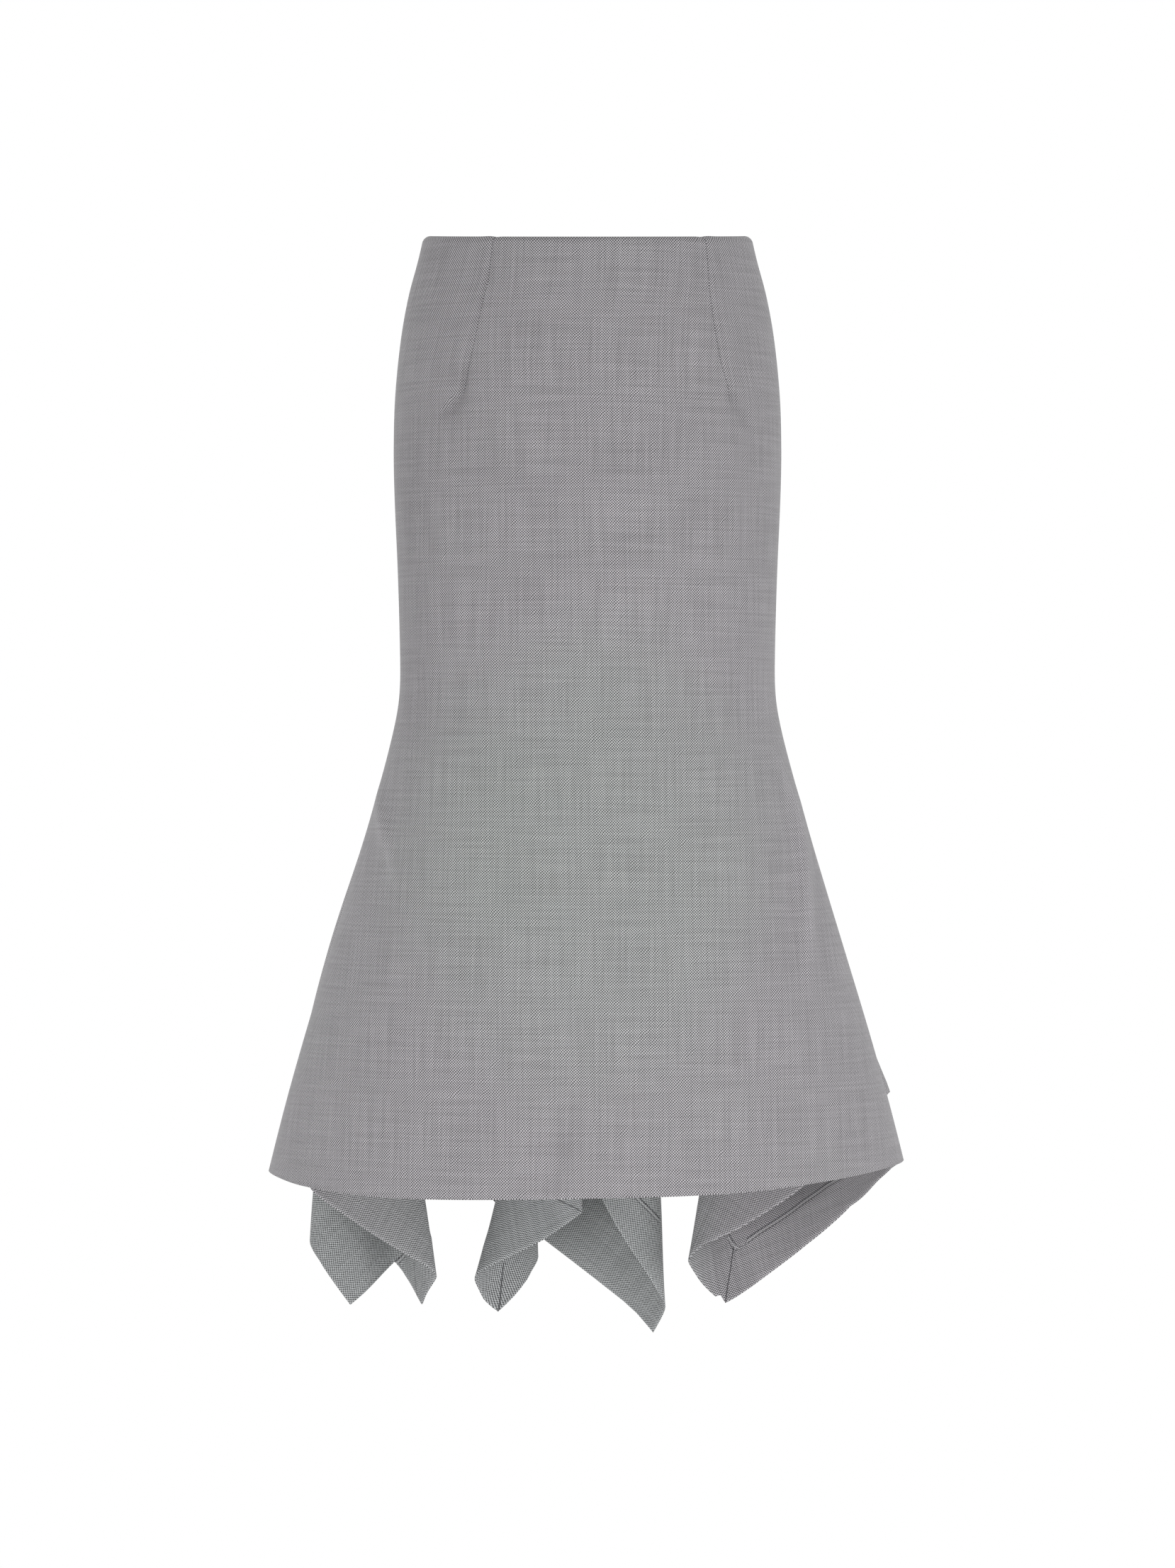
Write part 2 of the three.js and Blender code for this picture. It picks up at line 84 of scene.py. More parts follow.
class Socket:
    # One node output; sums written on it add their Math nodes

    def __init__(self, tree, link=None):
        self.tree, self.link = tree, link

    def node(self, kind, settings=None, inputs=None, output=0):
        made = self.tree.nodes.new("ShaderNode" + kind)
        for name, value in (settings or {}).items():
            setattr(made, name, value)
        for name, value in (inputs or {}).items():
            if isinstance(value, Socket):
                self.tree.links.new(value.link, made.inputs[name])
            else:
                made.inputs[name].default_value = value
        return Socket(self.tree, made.outputs[output])

    def math(self, operation, *values):
        return self.node("Math", {"operation": operation}, dict(enumerate(values)))

    def __add__(self, other):
        return self.math("ADD", self, other)

    __radd__ = __add__

    def __sub__(self, other):
        return self.math("SUBTRACT", self, other)

    def __rsub__(self, other):
        return self.math("SUBTRACT", other, self)

    def __mul__(self, other):
        return self.math("MULTIPLY", self, other)

    def __truediv__(self, other):
        return self.math("DIVIDE", self, other)

    def sine(self):
        return self.math("SINE", self)

    def size(self):
        return self.math("ABSOLUTE", self)

    def smooth(self, low, high):
        return self.node("MapRange", {"interpolation_type": "SMOOTHSTEP"},
                         {"Value": self, "From Min": low, "From Max": high})

    def stroke(self, low, high):
        # 1 nearer to zero than low, 0 further from it than high
        return 1 - self.size().smooth(low, high)

    def clamp(self):
        return self.node("Clamp", None, {"Value": self})

    def part(self, axis):
        return self.node("SeparateXYZ", None, {0: self}, output=axis)

    def noise(self, scale, detail=2.0):
        # Read at this socket as a place
        return self.node("TexNoise", None, {"Vector": self, "Scale": scale, "Detail": detail})


def startMaterial(name):
    # New material: (material, a bare word to start from, its shader)
    made = bpy.data.materials.new(name)
    made.use_nodes = True
    shader = made.node_tree.nodes["Principled BSDF"]
    return made, Socket(made.node_tree), shader


def feed(shader, **values):
    for name, value in values.items():
        socket = shader.inputs[name.replace("_", " ")]
        if isinstance(value, Socket):
            value.tree.links.new(value.link, socket)
        else:
            socket.default_value = value


def mixColour(factor, first, second, blend="MIX"):
    word = next(x for x in (factor, first, second) if isinstance(x, Socket))
    return word.node("Mix", {"data_type": "RGBA", "blend_type": blend},
                     {0: factor, 6: first, 7: second}, output=2)


def grainPlace(word):
    # Millimetres across the warp and along it
    grain = word.node("UVMap", {"uv_map": "grain"})
    return grain.part(0) * 1000, grain.part(1) * 1000


def objectPlace(word):
    # In metres
    return word.node("TexCoord", None, output=3)


def addBump(word, height, strength, depth):
    return word.node("Bump", None, {"Strength": strength, "Distance": depth, "Height": height})


suiting = {
    "cell": 1.15,  # mm across one dot of the pinhead check
    "wander": (0.13, 1.1),  # the rows of dots wander: how closely, and how far in mm
    "crisp": 1.25,
    "light": (0.495, 0.495, 0.495, 1), "dark": (0.052, 0.052, 0.052, 1),
    "threads": 0.38, "threadWide": 0.46, "threadRun": 0.014,
    "cloud": 0.06, "cloudScale": 7.0,
    "paintedUpperShade": -0.09, "paintedUpperShadeFrom": (-0.58, -0.16),  # painted shade: the fitted upper part is made darker, where less light falls
    "paintedHemHighlight": 0.22, "paintedHemHighlightWide": (0.5, 1.5),  # painted highlight along the turned edge of the points
    "violet": (1.004, 0.970, 1.018, 1), "green": (0.972, 1.006, 0.994, 1),
    "heart": ((-0.005, 0.14), (-0.52, 0.17)),  # middle and reach of the green, across and up
    "heartFade": (-0.9, 1.1),
    "drift": 0.9, "driftScale": 6.0,
    "shadeTeal": (0.950, 1.006, 1.020, 1),  # painted shade colour: a cooler tint deeper in among the folds
    "shadedDepthFrom": (0.02, 0.14), "shadeTealFrom": (0.044, 0.14), "leftOf": (0.05, 0.14),
    "shadedDepthGreen": 0.7, "shadedDepthTeal": 0.42,
    "bandWidth": 29,  # mm from the hem edge to its stitched line
    "stitch": 1.3, "stitchSlant": 0.7, "stitchFade": (-0.5, 0.6),  # mm from a stitch to its gap
    "underAt": 3.2, "paintedHighlightAt": 1.7,  # mm from the stitched line towards the hem
    # each line: mm from its middle where it is full and gone, its share between stitches, depth
    "bandLine": (0.35, 1.15, 0.45, 0.92), "underLine": (0.2, 0.85, 0.4375, 0.8),
    "mitreLine": (0.1, 0.75, 1, 0.8), "dartLine": (0.05, 0.6, 0.35, 0.62),
    # painted highlight: a light line beside the stitched hem line, standing in for light caught by the
    # raised band
    "paintedHighlightLine": (0.5, 1.4, 1, 0.22),
    "lineGrey": (0.030, 0.029, 0.034, 1), "paintedHighlightGrey": (0.62, 0.62, 0.63, 1),
    "relief": 0.25, "bump": (0.35, 0.0004),
}


def suitingMaterial():
    made, word, shader = startMaterial("pinhead_suiting")
    u, v = grainPlace(word)
    place = objectPlace(word)
    x, y, z = (place.part(axis) for axis in range(3))

    def grainNoise(scaleU, scaleV, detail):
        spot = word.node("CombineXYZ", None, {0: u * scaleU, 1: v * scaleV})
        return word.node("TexNoise", {"noise_dimensions": "2D"},
                         {"Vector": spot, "Scale": 1.0, "Detail": detail}) - 0.5

    def lineData(ending):
        return (word.node("Attribute", {"attribute_name": name + ending}, output=2)
                for name in ("band", "mitre", "dart"))

    close, far = suiting["wander"]
    wander = grainNoise(close, close, 1.0) * far
    step = math.pi / suiting["cell"]
    warp, weft = ((u + wander) * step).sine(), ((v - wander) * step).sine()
    dots = (warp * weft * suiting["crisp"] + 0.5).clamp()
    # threads run a little lighter or darker for a hand's width of cloth, in both directions
    wide, run = suiting["threadWide"], suiting["threadRun"]
    threads = grainNoise(wide, run, 3.0) + grainNoise(run, wide, 3.0)
    cloud = place.noise(suiting["cloudScale"]) - 0.5
    # painted light and shade: the shade attribute lightens or darkens the tone along creases and folds
    shade = word.node("Attribute", {"attribute_name": "shade"}, output=2)
    # painted highlight: the cloth is lightened within a mm or so of the turned hem edge
    hem = word.node("Attribute", {"attribute_name": "hemLine"}, output=2)
    paintedHemHighlight = 1 - hem.smooth(*suiting["paintedHemHighlightWide"])
    # the last term is painted shade that darkens the fitted upper part
    tone = (1 + threads * suiting["threads"] + cloud * suiting["cloud"] + shade
            + paintedHemHighlight * suiting["paintedHemHighlight"] + z.smooth(*suiting["paintedUpperShadeFrom"]) * suiting["paintedUpperShade"])
    colour = mixColour(dots, suiting["dark"], suiting["light"])
    grey = word.node("CombineXYZ", None, {0: tone, 1: tone, 2: tone})
    colour = mixColour(1.0, colour, grey, "MULTIPLY")

    # the grey leans to green round the middle of the flare, else to violet; deeper in the left folds it
    # leans green and teal as painted shade colour
    (heartX, reachX), (heartZ, reachZ) = suiting["heart"]
    across, up = (x - heartX) / reachX, (z - heartZ) / reachZ
    heart = 1 - (across * across + up * up)
    drift = place.noise(suiting["driftScale"]) - 0.5
    left = 1 - x.smooth(*suiting["leftOf"])
    # painted shade colour: further back in the left folds the tint turns green and teal
    shadedDepth = y.smooth(*suiting["shadedDepthFrom"]) * left
    greenArea = heart.smooth(*suiting["heartFade"]) + shadedDepth * suiting["shadedDepthGreen"]
    greenArea = (greenArea + drift * suiting["drift"]).clamp()
    tint = mixColour(greenArea, suiting["violet"], suiting["green"])
    tint = mixColour(y.smooth(*suiting["shadeTealFrom"]) * left * suiting["shadedDepthTeal"], tint, suiting["shadeTeal"])
    colour = mixColour(1.0, colour, tint, "MULTIPLY")

    # pressed lines: hem-band stitching, mitre seams, darts, each broken up like hand stitches
    band, mitre, dart = lineData("Line")
    bandReach, mitreReach, dartReach = lineData("Reach")
    stitches = (u + v * suiting["stitchSlant"]) * (math.pi / suiting["stitch"])
    stitches = stitches.sine().smooth(*suiting["stitchFade"])

    def stitched(away, kind):
        full, gone, between, depth = suiting[kind]
        return away.stroke(full, gone) * (stitches * (1 - between) + between) * depth

    line = (stitched(band, "bandLine") + stitched(band + suiting["underAt"], "underLine")) * bandReach
    line = line + stitched(mitre, "mitreLine") * mitreReach + stitched(dart, "dartLine") * dartReach
    line = line.clamp()
    # painted highlight along the raised hem band, beside its stitched line
    paintedHighlight = stitched(band + suiting["paintedHighlightAt"], "paintedHighlightLine") * bandReach
    colour = mixColour(paintedHighlight, colour, suiting["paintedHighlightGrey"])
    colour = mixColour(line, colour, suiting["lineGrey"])

    height = (dots + threads) * suiting["relief"] - line
    feed(shader, Base_Color=colour, Roughness=0.88, Normal=addBump(word, height, *suiting["bump"]),
         Specular_IOR_Level=0.25, Sheen_Weight=0.3, Sheen_Roughness=0.45)
    return made


suitingCloth = suitingMaterial()
print("materials ready")

# The skirt's form, in mm
form = {
    "roll": 5,  # the waist edge turns in this far
    "rollRows": (0, 0.35, 0.9, 1.7, 2.7, 3.9, 5.4, 7.6),  # rows of points over the turned edge
    "frontDip": 9,  # the waist runs lower at the centre front
    "dipFade": 130,
    "ventTop": 450,
    "drapeStart": 478,
    "drapeFull": 800,
    "drapeSoft": 0.3,  # the flutes set in gently over this share of their depth
    "lapShift": 1.5,
    "lapShare": 0.2,
    "hemLevel": 860,
    "planDrop": 822,
    "sideHem": 790,  # the side seams end here
    "seamGap": 0.15,  # behind their middle
    "outside": 0.8,  # the cloth's face stands this far off the middle of the solid's wall
    "inside": -0.1,
    "bandInside": -0.85,  # where the hem is turned up
}


# drop, half width, depth in front, depth behind
sections = np.array([
    (0, 138, 97, 96), (20, 142.6, 100, 100), (51, 150.8, 105, 108), (87, 157.2, 109, 117),
    (135, 162, 112, 127), (180, 163.3, 112, 132), (219, 162.6, 111, 131), (291, 159.6, 108, 125),
    (365, 157.8, 106, 119), (390, 158.7, 107, 119), (411, 162, 109, 120), (441, 169.2, 113, 124),
    (489, 182.4, 120, 132), (549, 200.2, 130, 143), (609, 218.4, 141, 155), (669, 236.5, 152, 167),
    (729, 253.5, 163, 179), (790, 269, 175, 191), (960, 310, 206, 224)], float)
halfWidth, frontDepth, backDepth = 1, 2, 3


def slopeOf(row):
    slope = np.empty_like(row)
    slope[1:-1] = row[2:] - row[:-2]
    slope[0], slope[-1] = row[1] - row[0], row[-1] - row[-2]
    return slope


def readTable(keys, values, at):
    # Smooth curve through a table's rows
    keys, values, at = (np.asarray(x, float) for x in (keys, values, at))
    slope = slopeOf(values) / slopeOf(keys)
    i = np.clip(np.searchsorted(keys, at, side="left") - 1, 0, len(keys) - 2)
    span, rise = keys[i + 1] - keys[i], values[i + 1] - values[i]
    t = np.clip((at - keys[i]) / span, 0, 1)
    bend = t * (1 - t) * ((1 - t) * (slope[i] * span - rise) - t * (slope[i + 1] * span - rise))
    return values[i] + t * rise + bend


def sectionAt(drop, column):
    return readTable(sections[:, 0], sections[:, column], drop)


def smoothStep(value, low, high):
    t = np.clip((np.asarray(value, float) - low) / (high - low), 0, 1)
    return t * t * (3 - 2 * t)


def shellPoint(turn, drop, side):
    # turn runs from -1 at one side seam through 0 at the centre to 1 at the other
    angle = turn * math.pi / 2
    short = np.clip(form["roll"] - drop, 0, None)
    inset = form["roll"] - np.sqrt(np.clip(form["roll"] ** 2 - short ** 2, 0, None))
    depth = sectionAt(drop, frontDepth if side < 0 else backDepth) - inset
    x = (sectionAt(drop, halfWidth) - inset) * np.sin(angle)
    fade = np.clip(1 - drop / form["dipFade"], 0, None)
    dip = form["frontDip"] * np.cos(angle) * fade if side < 0 else 0
    return np.stack([x, side * depth * np.cos(angle), -drop - dip], -1)


def gridNormals(grid):
    across = slopeOf(grid.swapaxes(0, 1)).swapaxes(0, 1)
    normal = np.cross(slopeOf(grid), across)
    return normal / np.maximum(np.linalg.norm(normal, axis=-1, keepdims=True), 1e-9)


def squareEdge(normals, column, axis):
    normals[:, column, axis] = 0
    normals[:, column] /= np.linalg.norm(normals[:, column], axis=-1, keepdims=True)


farLine = 12.0  # mm, further than any drawn line reaches
rimRound = 0.32  # share of the wall by which an open edge is rounded out


def addPiece(name, points, faces, finish):
    mesh = bpy.data.meshes.new(name)
    mesh.from_pydata((points * mm).tolist(), [], faces)
    mesh.polygons.foreach_set("use_smooth", [True] * len(mesh.polygons))
    mesh.validate()
    mesh.materials.append(finish)
    piece = bpy.data.objects.new(name, mesh)
    scene.collection.objects.link(piece)
    return piece


def clothMesh(name, near, rear, grain, lines, openEdges, finish=suitingCloth, lean=None):
    # A closed shell from two grids of points, near the one whose rows run left to right as seen.
    # Its border is rounded over on the open edges, clockwise from the top. A lean, values for the
    # points and signs for the columns of faces, shifts the grain past a dart.
    rows, columns = near.shape[:2]
    count = rows * columns
    at = np.arange(count).reshape(rows, columns)
    a, b, c, d = at[:-1, :-1], at[1:, :-1], at[1:, 1:], at[:-1, 1:]
    loop = np.concatenate([at[0, :-1], at[:-1, -1], at[-1, :0:-1], at[:0:-1, 0]])
    middle = (near + rear) / 2
    away = np.zeros_like(middle)
    for edge, inner, isOpen in zip(((0, ...), (slice(None), -1), (-1, ...), (slice(None), 0)),
                                   ((1, ...), (slice(None), -2), (-2, ...), (slice(None), 1)), openEdges):
        if isOpen:
            out = middle[edge] - middle[inner]
            away[edge] += out / np.maximum(np.linalg.norm(out, axis=-1, keepdims=True), 1e-9)
    thick = np.linalg.norm(near - rear, axis=-1, keepdims=True)
    middle = middle + away * thick * rimRound
    ring = middle.reshape(-1, 3)[loop]
    points = np.concatenate([near.reshape(-1, 3), rear.reshape(-1, 3), ring])
    ringAt = 2 * count + np.arange(len(loop))
    p, q, ringP, ringQ = loop, np.roll(loop, -1), ringAt, np.roll(ringAt, -1)
    quads = np.concatenate([
        np.stack([a, b, c, d], -1).reshape(-1, 4),
        np.stack([d, c, b, a], -1).reshape(-1, 4) + count,
        np.stack([p, q, ringQ, ringP], -1),
        np.stack([ringP, ringQ, q + count, p + count], -1)])
    piece = addPiece(name, points, quads.tolist(), finish)
    mesh = piece.data
    uvs = mesh.uv_layers.new(name="grain")
    flat = grain.reshape(-1, 2)
    spots = np.concatenate([flat, flat, flat[loop]]) * mm
    corners = np.empty(len(mesh.loops), int)
    mesh.loops.foreach_get("vertex_index", corners)
    spots = spots[corners]
    if lean is not None:
        byPoint, byColumn = lean[0].ravel() * mm, lean[1]
        sides = np.repeat(byColumn[[-1, 0]], rows - 1).reshape(2, -1)
        rim = np.concatenate([byColumn, sides[0], byColumn[::-1], sides[1]])
        signs = np.concatenate([np.tile(byColumn, 2 * (rows - 1)), rim, rim])
        spots[:, 0] += np.repeat(signs, 4) * np.concatenate([byPoint, byPoint, byPoint[loop]])[corners]
    uvs.data.foreach_set("uv", spots.ravel())
    for line, (onNear, onRear) in lines.items():
        data = mesh.attributes.new(line, "FLOAT", "POINT")
        values = [np.broadcast_to(onNear, at.shape).ravel(), np.broadcast_to(onRear, at.shape).ravel()]
        values = np.concatenate(values + [np.full(len(loop), farLine if line.endswith("Line") else 0)])
        data.data.foreach_set("value", np.clip(values, -farLine, farLine).astype(np.float32))
    return piece


def besideStretch(p, q, x, y):
    # Distance from the stretch p to q, distance from its line, place along it and its length
    gone = max(math.hypot(q[0] - p[0], q[1] - p[1]), 1e-6)
    ax, ay = (q[0] - p[0]) / gone, (q[1] - p[1]) / gone
    free = (x - p[0]) * ax + (y - p[1]) * ay
    straight = (x - p[0]) * ay - (y - p[1]) * ax
    return np.hypot(straight, free - np.clip(free, 0, gone)), straight, free, gone


drawn = {"reach": (6, 11), "ends": (0.5, 4.5)}  # mm beside a drawn line and past it


def drawnLine(path, x, y):
    # Signed distance, and reach: 1 beside the line, 0 far from it and past its ends
    best, off, reach = np.full(y.shape, 1e9), np.full(y.shape, farLine), np.zeros(y.shape)
    for k, (p, q) in enumerate(zip(path[:-1], path[1:])):
        far, straight, free, gone = besideStretch(p, q, x, y)
        beyond = np.maximum(-free if k == 0 else 0, free - gone if k == len(path) - 2 else 0)
        shown = (1 - smoothStep(far, *drawn["reach"])) * (1 - smoothStep(beyond, *drawn["ends"]))
        closer = far < best
        best = np.where(closer, far, best)
        off = np.where(closer, np.where(beyond > 0, straight, np.sign(straight) * far), off)
        reach = np.where(closer, shown, reach)
    return off, reach


def bell(away, wide):
    return np.exp(-(away / wide) ** 2)


creasing = {"taper": 0.7, "uneven": 0.25, "unevenAlong": 9, "unevenEach": 3}


def creaseRelief(x, y, creases):
    # Soft ridges and troughs, uneven along their length: width, height, places and, where it
    # isn't the usual one, taper
    total = np.zeros_like(x)
    for width, height, places, *ends in creases:
        best, part, run = np.full(x.shape, 1e9), np.zeros(x.shape), 0.0
        for p, q in zip(places[:-1], places[1:]):
            far, _, free, gone = besideStretch(p, q, x, y)
            part = np.where(far < best, run + np.clip(free, 0, gone), part)
            best = np.minimum(far, best)
            run += gone
        fade = np.sin(np.clip(part / run, 0, 1) * math.pi) ** (ends[0] if ends else creasing["taper"])
        phase = part / run * creasing["unevenAlong"] + height * creasing["unevenEach"]
        total += height * fade * (1 + creasing["uneven"] * np.sin(phase)) * bell(best, width)
    return total


front = {
    "name": "front_cloth",
    "flat": (0.66, 0.82), "area": 0.395,
    "hem": [(-269, 790), (-235, 797), (-160, 803), (0, 801), (120, 798), (200, 790.5), (269, 781)],
    "columns": 132, "nearSeam": (0.0045, 0.0095),  # with two more columns beside each side seam
    "rowStep": 5.2, "hemDrop": 800, "followFrom": 690,  # from here on the rows follow the hem
    # each dart: places across and down its line, in mm
    "leftDart": [(-78.5, 0), (-80.6, 23), (-82.3, 40), (-86.4, 55), (-90.6, 75), (-94, 94), (-97.6, 111),
                 (-101, 128), (-104, 138)],
    "rightDart": [(98.4, 0), (100, 23), (101.4, 45), (104.7, 74), (110.5, 110), (117, 132), (119.4, 146)],
    "dartPast": 3,
    "dartMiddle": 70, "dartHold": (150, 330),  # columns leave the dart's line between these drops
    "takenOut": 26, "takenDown": 140,  # cloth in each dart at the waist, and how far down
    "creases": [
        (5.5, -3.0, [(-101, 118), (-105, 138), (-111, 151), (-128, 161)]),
        (6, -2.0, [(116, 134), (126, 150), (132, 166)]),
        (6, 3.6, [(153, 424), (172, 480), (180, 520), (184, 570), (187, 640)]),
        (9, -1.6, [(158, 450), (168, 520), (172, 640)]),
        (6, 3.0, [(-178, 455), (-174, 484), (-168, 530)]),
        (18, -2.0, [(-160, 430), (-172, 520), (-186, 650)]),
        (9, -1.4, [(-14, 740), (-20, 770), (-34, 812)]),
        (62, -3.2, [(2, 500), (-4, 640), (0, 806)], 0.3),
        (26, -0.9, [(96, 250), (60, 330), (-20, 372)]),
        (24, 0.9, [(-120, 300), (-70, 372), (10, 402)]),
    ],
    # painted light and shade along the creases and folds, height as a share of its tone
    "marks": [
        (3.6, 0.17, [(153, 430), (172, 480), (180, 520), (184, 570), (188, 625)]),
        (9, -0.05, [(172, 455), (190, 540), (204, 640)]),
        (3.6, 0.14, [(-183, 466), (-177, 490), (-168, 521), (-162, 548)]),
        (4.2, -0.19, [(-100, 116), (-105, 138), (-111, 151), (-128, 161)]),
        (2.6, -0.08, [(-79, 4), (-86, 55), (-97, 111), (-103, 134)]),
        (4.6, -0.13, [(116, 130), (126, 150), (132, 166)]),
        (13, -0.05, [(-147, 125), (-146, 300), (-142, 420), (-156, 500)]),
        (7, -0.08, [(-14, 740), (-20, 770), (-34, 812)]),
        (16, -0.04, [(-130, 196), (-40, 214), (90, 176)]),
        (18, -0.04, [(120, 236), (30, 262), (-90, 300)]),
    ],
}


sewing = {
    "pinchDeep": 0.55, "pinchWide": 1.7,  # both sides of a seam roll in to its stitching
    "sideEase": 12, "centreEase": 11,  # other relief dies away towards a seam
    "seamEnd": 30,  # a pinch dies away over the seam's last stretch
    "dartDeep": 0.5, "dartWide": 2.4,
    "dartPast": 12, "dartFade": 40,  # a dart's groove fades out past its point
    "dartBeside": (5, 9), "dartShort": 2,
    "swell": 0.35, "swellAt": 6, "swellWide": 5,  # the cloth stands up beside a front dart
}


def seamPinch(away):
    return sewing["pinchDeep"] * bell(away, sewing["pinchWide"])


def dartPlace(dart, drop):
    path = np.array(dart, float)
    return np.interp(drop, path[:, 1], path[:, 0])


def dartFade(drop, low):
    return np.clip((low + sewing["dartPast"] - drop) / sewing["dartFade"], 0, 1)


def dartShown(away, drop, low, past):
    # 1 beside the dart's line, 0 far from it and past its point
    beside = 1 - smoothStep(np.abs(away), *sewing["dartBeside"])
    return beside * (1 - smoothStep(drop, low - sewing["dartShort"], low + past))


def arcAlong(points):
    steps = np.linalg.norm(np.diff(points, axis=1), axis=-1)
    return np.concatenate([np.zeros((len(points), 1)), np.cumsum(steps, axis=1)], axis=1)


def frontRows(base, hem):
    # Drop of each point, and the level that it has before its row follows the hem
    full, start = front["hemDrop"], form["rollRows"][-1]
    count = int(math.ceil((full - start) / front["rowStep"]))
    rows = np.concatenate([form["rollRows"], np.linspace(start, full, count + 1)[1:]])
    level = rows[:, None] * np.ones_like(base)
    stretch = np.clip((level - front["followFrom"]) / (full - front["followFrom"]), 0, 1)
    return level + stretch * (hem - full), level


def frontTurns(base, level, darts):
    # The columns' turns, with one column of points along each dart
    across = sectionAt(front["dartMiddle"], halfWidth) * np.sin(base * math.pi / 2)
    columns = [int(np.argmin(np.abs(across - dartPlace(dart, front["dartMiddle"])))) for dart, _ in darts]
    turn = np.empty_like(level)
    for row, low in enumerate(np.maximum(level[:, 0], form["roll"])):
        held = 1 - smoothStep(low, *front["dartHold"])
        goals = []
        for column, (dart, _) in zip(columns, darts):
            onDart = math.asin(dartPlace(dart, low) / sectionAt(low, halfWidth)) * 2 / math.pi
            goals.append(base[column] + held * (onDart - base[column]))
        turn[row] = np.interp(base, [-1, *base[columns], 1], [-1, *goals, 1])
    return turn, columns


def buildFront():
    hemX, hemDrop = np.array(front["hem"], float).T
    beside = np.array(front["nearSeam"])
    base = np.sort(np.concatenate([np.linspace(-1, 1, front["columns"] + 1), beside - 1, 1 - beside]))
    hem = readTable(hemX, hemDrop, hemX[-1] * np.sin(base * math.pi / 2))
    darts = ((front["leftDart"], -1), (front["rightDart"], 1))
    drop, level = frontRows(base, hem)
    turn, dartColumns = frontTurns(base, level, darts)
    middle = shellPoint(turn, drop, -1)
    normals = gridNormals(middle)
    for column in (0, -1):
        squareEdge(normals, column, 1)
    x, flat = middle[..., 0], -middle[..., 2]
    relief = creaseRelief(x, flat, front["creases"])
    dartLine, dartReach = np.full(x.shape, farLine), np.zeros(x.shape)
    for column, (dart, sign) in zip(dartColumns, darts):
        away = x - x[:, [column]]
        low = dart[-1][1]
        fade = dartFade(flat, low)
        relief -= sewing["dartDeep"] * bell(away, sewing["dartWide"]) * fade
        relief += sewing["swell"] * bell(away - sign * sewing["swellAt"], sewing["swellWide"]) * fade
        closer = np.abs(away) < np.abs(dartLine)
        dartLine = np.where(closer, away, dartLine)
        dartReach = np.where(closer, dartShown(away, flat, low, front["dartPast"]), dartReach)
    arc = arcAlong(middle)
    seamLine = np.minimum(arc, arc[:, [-1]] - arc)
    relief = relief * smoothStep(seamLine, 0, sewing["sideEase"]) - seamPinch(seamLine)
    middle = middle + normals * relief[..., None]
    edge = hem - drop
    inside = np.where(edge < suiting["bandWidth"], form["bandInside"], form["inside"])
    outer, inner = middle + normals * form["outside"], middle + normals * inside[..., None]
    # past each dart the grain is set off by the cloth taken out
    takenOut = front["takenOut"] * np.clip(1 - flat / front["takenDown"], 0, 1)
    past = np.zeros(len(base) - 1)
    past[:dartColumns[0]], past[dartColumns[1]:] = -1, 1
    grain = np.stack([arc - arc[:, [arc.shape[1] // 2]], -flat], -1)
    lines = {"bandLine": (farLine, edge - suiting["bandWidth"]), "bandReach": (0, 1),
             "mitreLine": (seamLine, seamLine), "mitreReach": (1, 1),
             "dartLine": (dartLine, farLine), "dartReach": (dartReach, 0),
             "shade": (creaseRelief(x, flat, front["marks"]), 0), "hemLine": (farLine, farLine)}
    piece = clothMesh(front["name"], outer, inner, grain, lines, (True, False, True, False),
                      lean=(takenOut, past))
    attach(piece, "skirt")
    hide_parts("front_panel")


# name of place, x, y, growth per mm of drop, width of the fold's loop, way it points, way it goes on
leftBack = {
    "name": "back_left_cloth", "node": "back_left_panel", "side": -1,
    "plan": [
        (-234, 50, 0), (-188, 80, 0), (-140.5, 108, 0.148, 20, 1, 1), (-166, 150, 0.05), (-198, 134, 0),
        (-238.8, 142, -0.06, 22, -1, 1), (-180, 178, 0), (-115, 191, 0), (-45.3, 184, 0.02, 20, 1, -1),
        (-78.4, 150, -0.27, 24, -1, -1), (-5, 118, 0)],
    # run between folds, x and drop of the hem
    "hem": [
        (0, -238, 806), (0, -232, 814), (0, -188, 848), (0, -135, 882), (1, -136, 899), (1, -143, 914),
        (1, -158, 892), (1, -168, 879), (1, -206, 915), (1, -233, 876), (2, -236, 852), (2, -175, 808),
        (2, -110, 800), (2, -66, 846), (3, -50, 890), (3, -59, 904), (3, -78.5, 924), (3, -95, 904),
        (4, -94, 888), (4, -38, 858)],
    "ends": (790, 834),
    "flat": (0.62, 0.78), "area": 0.264, "bias": 45,
    # stitched lines: kind, side of the cloth, run, places across and down it
    "lines": [
        ("mitreLine", "face", 1, [(-150.2, 878), (-147.1, 909), (-143.6, 914.5)]),
        ("bandLine", "face", 1, [(-167.5, 879), (-159.7, 871.8)]),
        ("mitreLine", "face", 3, [(-73.8, 881.6), (-76.9, 915.7), (-78.5, 924)]),
        ("mitreLine", "wrong", 4, [(-27, 823.4), (-8.6, 830.8), (-5, 834)])],
    "bandRuns": (1, 2, 3),
    "dart": [(-66, 0), (-68, 60), (-71, 135)],
    "creases": [
        (22, 1.6, [(-20, 60), (-60, 150), (-110, 230)]),
        (18, -1.8, [(-12, 230), (-60, 300), (-120, 345)]),
        (16, 1.5, [(-15, 330), (-70, 385), (-130, 410)]),
        (16, 1.8, [(-30, 420), (-50, 520), (-58, 640)])],
    # painted light and shade on the folds, along the cloth and down it
    "marks": [
        (60, 0.09, [(60, 700), (120, 850)]),
        (14, 0.16, [(656, 812), (690, 836)])],
}
